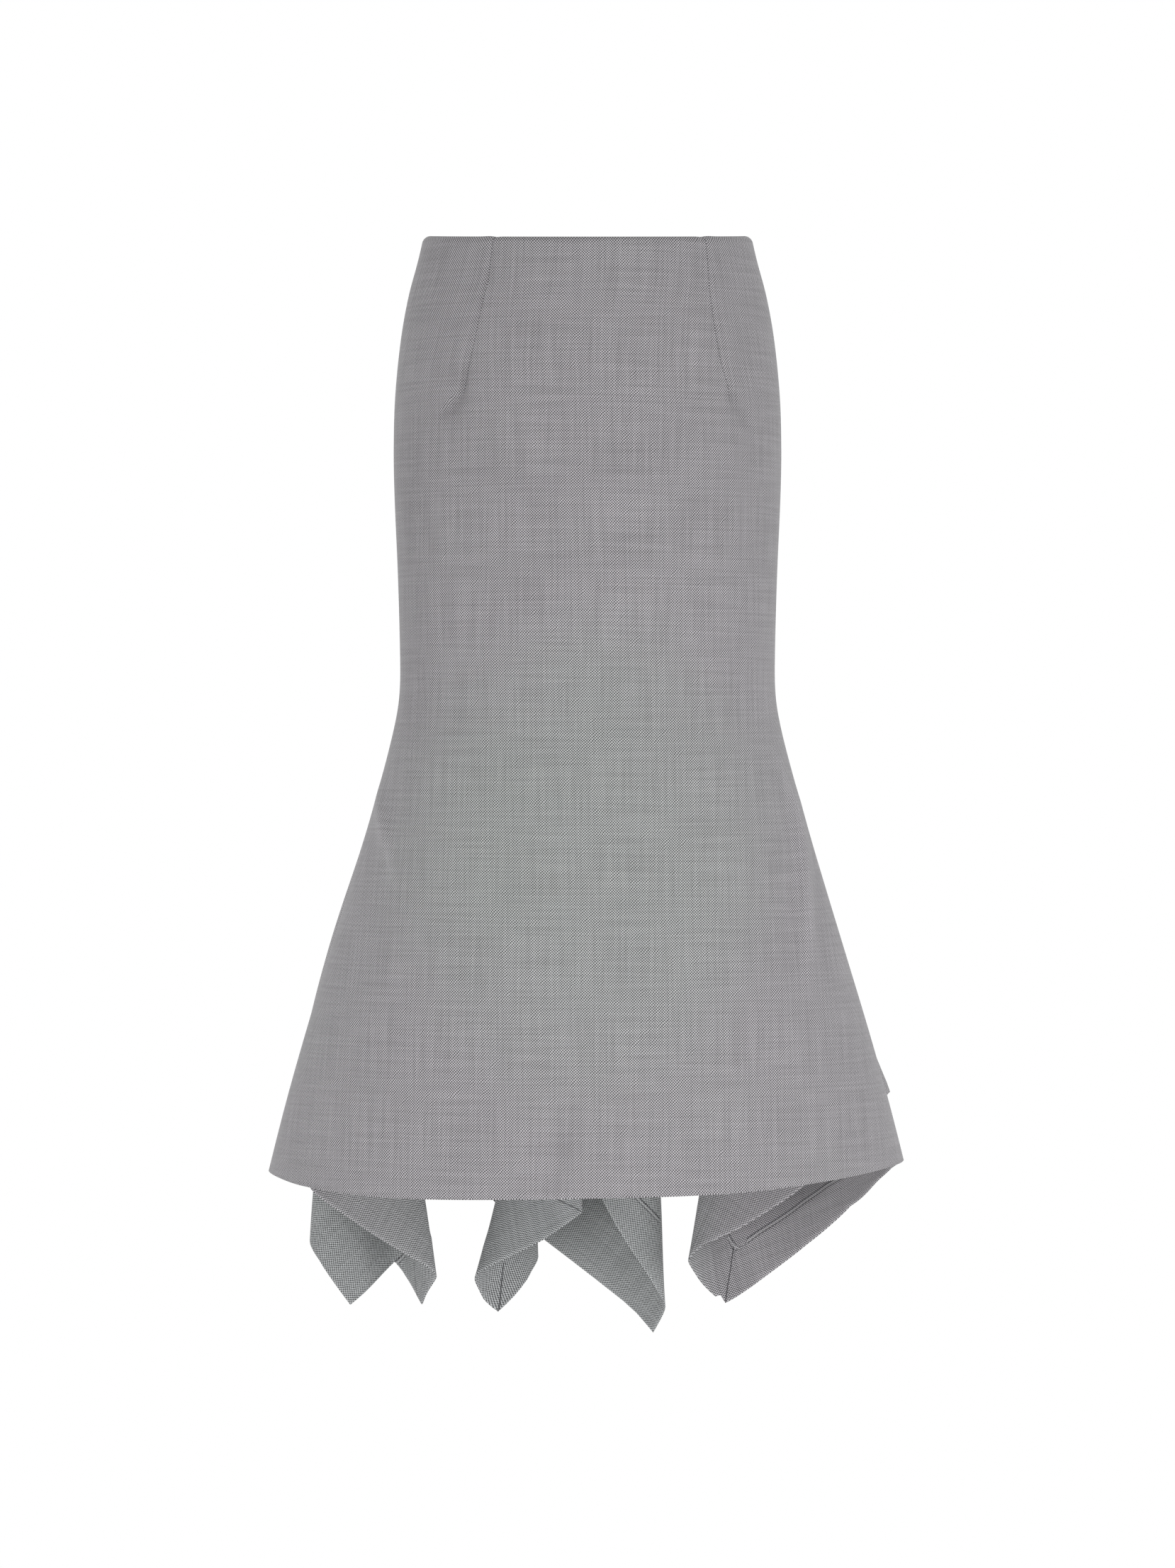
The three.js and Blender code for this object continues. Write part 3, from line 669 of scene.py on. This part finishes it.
rightBack = {
    "name": "back_right_cloth", "node": "back_right_panel", "side": 1,
    "plan": [
        (-78, 209, 0), (-5, 205, 0), (62.6, 174, 0.052, 24, 1, -1), (3, 136, 0, 18, -1, -1),
        (90, 106, 0), (187.3, 84, 0, 18, 1, 1), (98.2, 138, -0.18, 26, -1, 1), (128, 162, 0),
        (178, 146, 0), (226, 102, 0.1), (254, 48, 0.2)],
    "hem": [
        (0, -37, 865), (0, 7, 898.5), (0, 32, 917), (0, 44, 927.5), (0, 57.8, 944), (1, 62, 908),
        (1, 32, 860), (1, 12, 823), (2, 12, 803), (2, 178, 797), (3, 178, 816), (3, 135, 845),
        (3, 98, 865), (4, 94, 889), (4, 112, 910), (4, 116.5, 909), (4, 120.6, 916), (4, 143, 901.5),
        (4, 191, 863), (4, 227, 827), (4, 258, 789)],
    "ends": (828, 781),
    "flat": (0.64, 0.82), "area": 0.283, "bias": 30,
    "lines": [
        ("bandLine", "wrong", 4, [(127.6, 869), (148.9, 853.6), (168.7, 840), (187.9, 825), (208.9, 809),
                                  (226, 796), (247, 775), (262, 762)]),
        ("mitreLine", "wrong", 4, [(127.9, 866), (121.7, 905), (120.5, 915.5)]),
        ("bandLine", "wrong", 4, [(123.6, 856), (127.9, 864.5)]),
        ("bandLine", "face", 1, [(30, 806), (45.8, 825.5), (55.1, 835.4), (62.5, 844)])],
    "bandRuns": (1, 2, 3),
    "dart": [(66, 0), (68, 60), (71, 135)],
    "creases": [
        (20, -1.5, [(18, 80), (62, 160), (118, 215)]),
        (20, 1.7, [(14, 210), (66, 290), (122, 330)]),
        (15, -1.6, [(18, 345), (75, 395), (135, 415)]),
        (18, 1.6, [(36, 430), (60, 530), (70, 650)])],
    # painted light and shade on the folds, along the cloth and down it
    "marks": [
        (60, 0.10, [(40, 780), (90, 860), (100, 950)]),
        (26, 0.10, [(190, 800), (165, 860), (158, 930)]),
        (16, -0.20, [(556, 836), (578, 880), (592, 925)]),
        (20, 0.22, [(590, 835), (640, 800), (690, 780)]),
        (17, -0.12, [(802, 662), (804, 756)])],
}
backMesh = {
    "columnStep": 3.6, "foldStep": 2.2, "columnMerge": 0.8, "nearEdge": (1.0, 2.2, 4.5), "foldHalf": 14,
    "rowStep": 7.0, "flareRows": 24, "planSamples": 900,
    "foldTop": 678, "foldPeak": 723, "foldEnd": 731, "foldProud": 11, "foldReach": 0.09,
    "creaseFade": (560, 700),  # the fitted part's creases end between these drops
    "waveFrom": (560, 760), "waveHigh": 0.9,
    "waves": (23, 61, 41, 37),  # along the cloth and down it, twice
    "pucker": (0.5, 9, 7, 6.5, 17),  # height, distance from the zip, width, steps down it
    "puckerFade": (170, 200),
    "crispTurn": 0.6, "softTurn": 9.0,  # the turned-up hem is pressed on some runs, soft on others
    "bandStep": 0.5, "bandFade": (4, 11),  # a stitched hem stands up on the wrong side
    "knee": 450, "fanBend": 0.5, "dartPast": 5,
}


def planPoints(panel, drop):
    # Control points (drops x points x 2) and which of them are folds
    drop = np.asarray(drop, float)
    points, marks = [], []
    for spot in panel["plan"]:
        x = spot[0] + spot[2] * (drop - form["planDrop"])
        y = np.full_like(drop, spot[1])
        if len(spot) == 3:
            points.append((x, y))
            continue
        gap, way, step = spot[3:]
        points.append((x - way * gap / 2, y - step * gap / 2))
        marks.append(len(points))
        points.append((x, y))
        points.append((x - way * gap / 2, y + step * gap / 2))
    seam = (panel["side"] * sectionAt(drop, halfWidth), np.full_like(drop, form["seamGap"]))
    if panel["side"] < 0:
        points.insert(0, seam)
        marks = [m + 1 for m in marks]
    else:
        points.append(seam)
    return np.array([np.stack(p, -1) for p in points]), [m / (len(points) - 1) for m in marks]


def curvePoint(points, t):
    # Centripetal curve through points (points x drops x 2) at one place t from 0 to 1
    last = len(points) - 1
    i = min(int(t * last), last - 1)
    w = t * last - i
    p1, p2 = points[i], points[i + 1]
    p0 = points[i - 1] if i > 0 else 2 * points[0] - points[1]
    p3 = points[i + 2] if i + 2 <= last else 2 * points[last] - points[last - 1]

    def gap(p, q):
        return np.maximum(((p - q) ** 2).sum(-1, keepdims=True) ** 0.25, 1e-4)

    d0, d1, d2 = gap(p0, p1), gap(p1, p2), gap(p2, p3)
    t1 = ((p1 - p0) / d0 - (p2 - p0) / (d0 + d1) + (p2 - p1) / d1) * d1
    t2 = ((p2 - p1) / d1 - (p3 - p1) / (d1 + d2) + (p3 - p2) / d2) * d1
    return p1 + t1 * w + (-3 * p1 + 3 * p2 - 2 * t1 - t2) * w ** 2 + (2 * p1 - 2 * p2 + t1 + t2) * w ** 3


def samplePlan(panel, drop):
    points, folds = planPoints(panel, np.array([drop]))
    places = np.linspace(0, 1, backMesh["planSamples"] + 1)
    curve = np.array([curvePoint(points, t)[0] for t in places])
    length = arcAlong(curve[None])[0]
    run = np.array([sum(fold <= t for fold in folds) for t in places])
    return places, curve, length, run, folds


def fittedPoint(fromSeam, drop, side):
    # The fitted part of a back panel; its vent edge is lapped in or out below the seam
    point = shellPoint(side * (1 - fromSeam), drop, 1)
    near = np.clip(1 - (1 - fromSeam) / form["lapShare"], 0, None)
    lap = near * smoothStep(drop, form["ventTop"], form["drapeStart"])
    point[..., 1] += side * form["lapShift"] * lap
    return point


def clothPlace(panel, length, onRun, x, drop):
    # How far along the cloth a run of it passes x, at this drop
    _, at, _, run, _ = samplePlan(panel, drop)
    return length[int(np.where(run == onRun, np.abs(at[:, 0] - x), 1e9).argmin())]


def backColumns(hem, folds):
    # Places along the cloth: every corner of the hem, the folds finely, the rest evenly
    whole, half = hem[-1, 0], backMesh["foldHalf"]
    stops = sorted([*hem[:, 0], *backMesh["nearEdge"], *(whole - k for k in backMesh["nearEdge"]),
                    *(fold + k for fold in folds for k in (-half, 0, half))])
    columns = [stops[0]]
    for stop in stops[1:]:
        gap = stop - columns[-1]
        if gap < backMesh["columnMerge"]:
            continue
        nearFold = min(abs((stop + columns[-1]) / 2 - fold) for fold in folds) < half + 1
        parts = max(1, round(gap / backMesh["foldStep" if nearFold else "columnStep"]))
        columns += [columns[-1] + gap * (k + 1) / parts for k in range(parts)]
    return np.array(columns)


def backRows(columns, hem):
    # Level rows down to the flare, then rows that spread down to the hem
    start, end, count = form["rollRows"][-1], backMesh["foldEnd"], backMesh["flareRows"]
    upper = np.linspace(start, end, int((end - start) / backMesh["rowStep"]) + 1)[1:]
    level = np.concatenate([form["rollRows"], upper])
    hemDrop = np.interp(columns, hem[:, 0], hem[:, 1])
    return np.concatenate([np.repeat(level[:, None], len(columns), axis=1),
                           end + (hemDrop - end) * (np.arange(1, count + 1)[:, None] / count)])


def drapedForm(panel, drop, t, fromSeam):
    # The middle of the wall: the fitted shell, giving way to the folded plan further down
    side = panel["side"]
    middle = fittedPoint(fromSeam, drop, side)
    blend = np.clip((drop - form["drapeStart"]) / (form["drapeFull"] - form["drapeStart"]), 0, 1)
    soft = form["drapeSoft"]
    blend = np.where(blend < soft, (1.5 - 0.5 * blend / soft) * blend ** 2 / soft ** 0.5, blend ** 1.5)
    for c, place in enumerate(t):
        folded = curvePoint(planPoints(panel, drop[:, c])[0], place)
        middle[:, c, :2] += (folded - middle[:, c, :2]) * blend[:, c, None]
    if side > 0:
        top, peak, reach = (backMesh[k] for k in ("foldTop", "foldPeak", "foldReach"))
        on = (drop > top) & (drop < backMesh["foldEnd"]) & (fromSeam < reach)
        proud = backMesh["foldProud"] * np.clip((drop - top) / (peak - top), 0, 1)
        middle[..., 0] += np.where(on, proud * np.sin(math.pi * fromSeam / reach), 0)
    return middle


def backRelief(panel, x, along, drop, sideSeam, centreSeam):
    # Darts and creases of the fitted part, small unevenness of the folded part, pressed seams
    side, dart = panel["side"], panel["dart"]
    relief = creaseRelief(x, drop, panel["creases"]) * (1 - smoothStep(drop, *backMesh["creaseFade"]))
    away = x - dartPlace(dart, drop)
    relief -= sewing["dartDeep"] * bell(away, sewing["dartWide"]) * dartFade(drop, dart[-1][1])
    # cloth puckers a little along the zip
    high, at, wide, close, far = backMesh["pucker"]
    pucker = np.sin(drop / close + side) * np.sin(drop / far + 1)
    pucker = pucker * (1 - smoothStep(drop, *backMesh["puckerFade"]))
    relief += high * pucker * bell(centreSeam - at, wide)
    a, b, c, d = backMesh["waves"]
    wave = np.sin(along / a + drop / b) * np.sin(along / c - drop / d + side)
    relief += backMesh["waveHigh"] * wave * smoothStep(drop, *backMesh["waveFrom"])
    relief *= smoothStep(sideSeam, 0, sewing["sideEase"])
    relief *= smoothStep(centreSeam, 0, sewing["centreEase"])
    sewn = smoothStep(form["sideHem"] - drop, 0, sewing["seamEnd"])
    return relief - seamPinch(sideSeam) * sewn - seamPinch(centreSeam)


def hemDistance(hem, along, drop):
    # In the flat
    stretches = zip(hem[:-1, :2], hem[1:, :2])
    return np.minimum.reduce([besideStretch(p, q, along, drop)[0] for p, q in stretches])


def drawPanelLines(panel, lines, length, along, drop):
    # The lines in the panel's own table; returns how far a stitched hem is raised
    raised = np.zeros_like(drop)
    for kind, cloth, onRun, places in panel["lines"]:
        path = [(clothPlace(panel, length, onRun, x, low), low) for x, low in places]
        off, reach = drawnLine(path, along, drop)
        spot = 0 if cloth == "face" else 1
        if kind == "bandLine":
            below = drop > np.interp(along, *zip(*sorted(path)))
            off = np.where(below, -np.abs(off), np.abs(off))
            step = smoothStep(-off, -1.0, 1.0) * (1 - smoothStep(-off, *backMesh["bandFade"]))
            raised += step * reach * spot
        reachKind = kind.replace("Line", "Reach")
        lines[kind][spot] = np.where(reach > 0, off, lines[kind][spot])
        lines[reachKind][spot] = np.where(reach > 0, reach, lines[reachKind][spot])
    return raised


def fannedGrain(panel, share, drop, width, whole):
    # The cloth's flat shape: fitted above the knee, fanned below it, cut on the bias
    knee, fanBend = backMesh["knee"], backMesh["fanBend"]
    kneeWidth = width[int(np.argmin(np.abs(drop[:, 0] - knee)))]
    turn = (share - 0.5) * (whole - kneeWidth) / (form["hemLevel"] - knee) * fanBend
    below, above = np.clip(drop - knee, 0, None), np.clip(knee - drop, 0, None)
    across = (share - 0.5) * np.where(drop < knee, width[:, None], kneeWidth)
    across += np.sin(turn) * below / fanBend
    down = below * (1 + (np.cos(turn) - 1) / fanBend) - above
    cosine, sine = math.cos(math.radians(panel["bias"])), math.sin(math.radians(panel["bias"]))
    return np.stack([across * cosine - down * sine, across * sine + down * cosine], -1)


def buildBack(panel):
    left = panel["side"] < 0
    places, _, length, _, folds = samplePlan(panel, form["hemLevel"])
    whole = length[-1]
    hem = [(0.0, panel["ends"][0], 0), (whole, panel["ends"][1], len(folds))]
    hem += [(clothPlace(panel, length, onRun, x, drop), drop, onRun) for onRun, x, drop in panel["hem"]]
    hem = np.array(sorted(hem))
    foldPlaces = [float(np.interp(fold, places, length)) for fold in folds]
    columns = backColumns(hem, foldPlaces)
    share = columns / whole
    drop = backRows(columns, hem)
    along = np.broadcast_to(columns, drop.shape)
    fromSeam = np.broadcast_to(share if left else 1 - share, drop.shape)
    middle = drapedForm(panel, drop, np.interp(columns, length, places), fromSeam)
    normals = gridNormals(middle) * -1
    squareEdge(normals, 0 if left else -1, 1)
    squareEdge(normals, -1 if left else 0, 0)

    arc = arcAlong(middle)
    width = arc[:, -1]
    sideSeam, centreSeam = (arc, width[:, None] - arc) if left else (width[:, None] - arc, arc)
    centreSeam = np.where(drop < form["ventTop"], centreSeam, farLine)
    x = middle[..., 0]
    relief = backRelief(panel, x, along, drop, sideSeam, centreSeam)
    away = x - dartPlace(panel["dart"], drop)
    dartReach = dartShown(away, drop, panel["dart"][-1][1], backMesh["dartPast"])
    middle = middle + normals * relief[..., None]

    # the hem is turned up, crisply on the runs that show their stitching
    nearest, band = hemDistance(hem, along, drop), suiting["bandWidth"]
    bounds = np.array([0.0, *foldPlaces, whole])
    runAt = np.clip(np.searchsorted(bounds, columns, side="right") - 1, 0, len(bounds) - 2)
    crisp = np.isin(runAt, panel["bandRuns"])
    soft = np.where(crisp, backMesh["crispTurn"], backMesh["softTurn"])
    turnedUp = smoothStep(-nearest, -band - soft, -band + soft)
    inside = form["inside"] + (form["bandInside"] - form["inside"]) * turnedUp

    seams = np.minimum(sideSeam + np.clip(drop - form["sideHem"], 0, farLine), centreSeam)
    # painted light and shade from the panel's marks
    shade = creaseRelief(along, drop, panel["marks"])
    lines = {"bandLine": [farLine, nearest - band], "bandReach": [0, crisp * 1.0],
             "mitreLine": [seams, seams], "mitreReach": [seams < farLine, seams < farLine],
             "dartLine": [away, farLine], "dartReach": [dartReach, 0],
             "shade": [shade, shade], "hemLine": [nearest, nearest]}
    raised = drawPanelLines(panel, lines, length, along, drop)
    outer = middle + normals * form["outside"]
    inner = middle + normals * (inside - backMesh["bandStep"] * raised)[..., None]
    lines = {kind: (wrong, face) for kind, (face, wrong) in lines.items()}
    openEdges = (True, True, True, False) if left else (True, False, True, True)
    grain = fannedGrain(panel, share, drop, width, whole)
    piece = clothMesh(panel["name"], inner, outer, grain, lines, openEdges)
    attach(piece, "skirt")
    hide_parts(panel["node"])


buildFront()
print("front panel ready")
buildBack(leftBack)
buildBack(rightBack)
print("back panels ready")


# A concealed zip in the centre-back seam, in mm
zipper = {
    "top": 5.6, "length": 184, "tapeHalf": 10.9, "inwards": 1.85, "tapeWall": 0.8,
    "tapeColumns": 14, "tapeRows": 150,
    "cordAt": 10.3, "cordHigh": 0.16, "cordWide": 0.5,
    "curl": 0.12, "curlFrom": (7, 11),
    "stitchAt": 7.2,
    "pitch": 1.3, "toothRadius": 0.42, "toothLength": 1.75, "toothHead": 0.62, "toothGap": 0.35,
    "headRings": ((0.14, 1), (0.44, 1), (0.58, 0.7)),  # mm past the bar, share of the head
    "helix": 0.16, "coilProud": 0.75, "coilFrom": 3, "coilShort": 8,
    # crimped stops: place across, drop, width and height
    "stops": [(0.0, 185.1, 5.4, 4.2), (-2.1, 7.0, 2.2, 1.8), (2.1, 7.0, 2.2, 1.8)],
    "stopDeep": 1.9, "stopRound": 0.45,
}


zipLooks = {
    "metal": ((0.26, 0.26, 0.27, 1), (0.34, 0.34, 0.35, 1)), "wear": 900.0,
    "nylon": ((0.16, 0.16, 0.17, 1), (0.27, 0.27, 0.28, 1)), "drawMarks": 1600.0,
    "tape": ((0.085, 0.085, 0.09, 1), (0.21, 0.21, 0.225, 1)),
    "cord": (0.25, 0.25, 0.265, 1), "sewing": (0.33, 0.33, 0.34, 1), "sewingStep": 2.6,
    "ribTurn": 2, "ribAcross": 0.64, "ribDown": 1.1, "ribClose": 5.2,
}


def metalMaterial():
    # Grey enamelled zinc, a little uneven
    made, word, shader = startMaterial("zip_metal")
    wear = objectPlace(word).noise(zipLooks["wear"], 4.0)
    tone = mixColour(wear, *zipLooks["metal"])
    feed(shader, Base_Color=tone, Metallic=0.55, Roughness=wear * 0.2 + 0.28,
         Normal=addBump(word, wear, 0.15, 0.0002), Coat_Weight=0.5)
    return made


def tapeMaterial():
    # Herringbone: slanting ribs that turn every 2 mm or so across the tape
    made, word, shader = startMaterial("zip_tape_weave")
    across, down = grainPlace(word)
    away = across.size()
    turned = (away * (math.pi / zipLooks["ribTurn"])).sine().math("ARCSINE") * zipLooks["ribAcross"]
    rib = ((turned + down * zipLooks["ribDown"]) * zipLooks["ribClose"]).sine() * 0.5 + 0.5
    cord = (away - zipper["cordAt"]).stroke(0.2, 0.7)
    stitch = (away - zipper["stitchAt"]).stroke(0.12, 0.34)
    stitch = stitch * (down * zipLooks["sewingStep"]).sine().smooth(-0.3, 0.2)
    tone = mixColour(rib, *zipLooks["tape"])
    tone = mixColour(cord * 0.5, tone, zipLooks["cord"])
    tone = mixColour(stitch, tone, zipLooks["sewing"])
    bump = addBump(word, rib * 0.5 + cord + stitch, 0.45, 0.0003)
    feed(shader, Base_Color=tone, Roughness=0.8, Normal=bump, Sheen_Weight=0.15, Sheen_Roughness=0.5)
    return made


def coilMaterial():
    # Moulded nylon, its sheen broken by fine draw marks
    made, word, shader = startMaterial("zip_coil_nylon")
    marks = objectPlace(word).noise(zipLooks["drawMarks"], 3.0)
    tone = mixColour(marks, *zipLooks["nylon"])
    feed(shader, Base_Color=tone, Roughness=marks * 0.2 + 0.3, Coat_Weight=0.2)
    return made


zipMetal, zipWeave, zipNylon = metalMaterial(), tapeMaterial(), coilMaterial()


def tapePoint(x, drop, off=0.0):
    # A place on the tape, off standing in towards the hollow of the skirt
    angle = np.arcsin(np.clip(x / sectionAt(drop, halfWidth), -1, 1))
    y = sectionAt(drop, backDepth) * np.cos(angle) - zipper["inwards"] - off
    return np.stack(np.broadcast_arrays(x, y, -drop), axis=-1).astype(float)


def buildTape():
    half = np.linspace(1, zipper["tapeHalf"], zipper["tapeColumns"])
    down = zipper["top"] + np.linspace(0, zipper["length"], zipper["tapeRows"])
    x, drop = np.meshgrid(np.concatenate([-half[::-1], [0.0], half]), down)
    # its edges are corded and it curls a little between the stitches
    cord = zipper["cordHigh"] * bell(np.abs(x) - zipper["cordAt"], zipper["cordWide"])
    wall = zipper["tapeWall"] / 2 + cord
    curl = zipper["curl"] * np.sin(drop / 8) * smoothStep(np.abs(x), *zipper["curlFrom"])
    piece = clothMesh("zip_tape_cloth", tapePoint(x, drop, curl + wall), tapePoint(x, drop, curl - wall),
                      np.stack([x, drop], -1), {}, (True,) * 4, zipWeave)
    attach(piece, "skirt")
    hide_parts("zip_tape")


def toothShape():
    # One turn of the coil: a short bar with a rounded head where it meets its neighbour
    radius, head, half = zipper["toothRadius"], zipper["toothHead"], zipper["toothLength"] / 2
    rings = [(half, radius), (-half, radius)]
    rings += [(-half - past, head * share) for past, share in zipper["headRings"]]
    around = np.arange(8) * math.pi / 4
    corners = np.array([(x, r * math.sin(a), r * math.cos(a)) for x, r in rings for a in around])
    faces = [[8 * k + j, 8 * k + (j + 1) % 8, 8 * k + 8 + (j + 1) % 8, 8 * k + 8 + j]
             for k in range(len(rings) - 1) for j in range(8)]
    last = 8 * (len(rings) - 1)
    return corners, [list(range(7, -1, -1)), *faces, list(range(last, last + 8))]


def buildCoil():
    corners, faces = toothShape()
    points, polygons = [], []
    for k in range(int((zipper["length"] - zipper["coilShort"]) / zipper["pitch"] * 2)):
        side = 1 if k % 2 else -1
        lean = zipper["helix"] * side
        x, y, z = corners.T
        x = x + zipper["toothLength"] / 2 + zipper["toothGap"]
        drop = zipper["top"] + zipper["coilFrom"] + k * zipper["pitch"] / 2
        base = tapePoint(np.array(0.0), drop, zipper["coilProud"])
        turnedX = side * (x * math.cos(lean) - side * z * math.sin(lean))
        turnedZ = z * math.cos(lean) + (x - 1) * math.sin(lean) * side * 0.5
        polygons += [[c + k * len(corners) for c in face] for face in faces]
        points.append(np.stack([turnedX, base[1] + side * y, base[2] + turnedZ], -1))
    coil = addPiece("zip_coil", np.concatenate(points), polygons, zipNylon)
    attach(coil, "skirt")


def buildStops():
    # Crimped stops at both ends of the coil
    bpy.ops.object.select_all(action="DESELECT")
    stops = []
    for x, drop, wide, high in zipper["stops"]:
        base = tapePoint(np.array(x), drop, zipper["coilProud"])
        bpy.ops.mesh.primitive_cube_add(size=1, location=base * mm)
        stop = bpy.context.object
        stop.scale = (wide * mm, zipper["stopDeep"] * mm, high * mm)
        bpy.ops.object.transform_apply(location=True, rotation=True, scale=True)
        bpy.ops.object.mode_set(mode="EDIT")
        bpy.ops.mesh.select_all(action="SELECT")
        bpy.ops.mesh.bevel(offset=zipper["stopRound"] * mm, segments=3)
        bpy.ops.object.mode_set(mode="OBJECT")
        stops.append(stop)
    for stop in stops:
        stop.select_set(True)
    bpy.context.view_layer.objects.active = stops[0]
    bpy.ops.object.join()
    joined = bpy.context.object
    joined.name = "zip_stops"
    joined.data.materials.clear()
    joined.data.materials.append(zipMetal)
    joined.data.polygons.foreach_set("use_smooth", [True] * len(joined.data.polygons))
    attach(joined, "skirt")


buildTape()
buildCoil()
buildStops()
for node in ("zip_slider", "zip_pull"):
    for carried in [o for o in bpy.data.objects if o.type == "MESH" and o.name.startswith(node)]:
        carried.data.materials.clear()
        carried.data.materials.append(zipMetal)
print("zip ready")

# A white backdrop that only the camera sees, and a pale floor below the frame
bpy.ops.object.select_all(action="DESELECT")
bpy.ops.mesh.primitive_uv_sphere_add(segments=32, ring_count=16, radius=studio["domeRadius"])
backdrop = bpy.context.object
backdrop.name = "backdrop"
for ray in ("diffuse", "glossy", "transmission", "shadow", "volume_scatter"):
    setattr(backdrop, "visible_" + ray, False)
backdropFinish, _, backdropShader = startMaterial("white_backdrop")
feed(backdropShader, Base_Color=(0, 0, 0, 1), Emission_Color=(1, 1, 1, 1), Emission_Strength=1.0,
     Roughness=1.0, Specular_IOR_Level=0.0)
backdrop.data.materials.append(backdropFinish)

bpy.ops.object.select_all(action="DESELECT")
bpy.ops.mesh.primitive_plane_add(size=2 * studio["floorHalf"], location=(0, 0, studio["floorDrop"]))
floor = bpy.context.object
floor.name = "floor"
floorFinish, floorWord, floorShader = startMaterial("pale_floor")
speck = objectPlace(floorWord).noise(studio["floorSpeck"])
feed(floorShader, Base_Color=mixColour(speck, *studio["floorGrey"]), Roughness=0.9)
floor.data.materials.append(floorFinish)
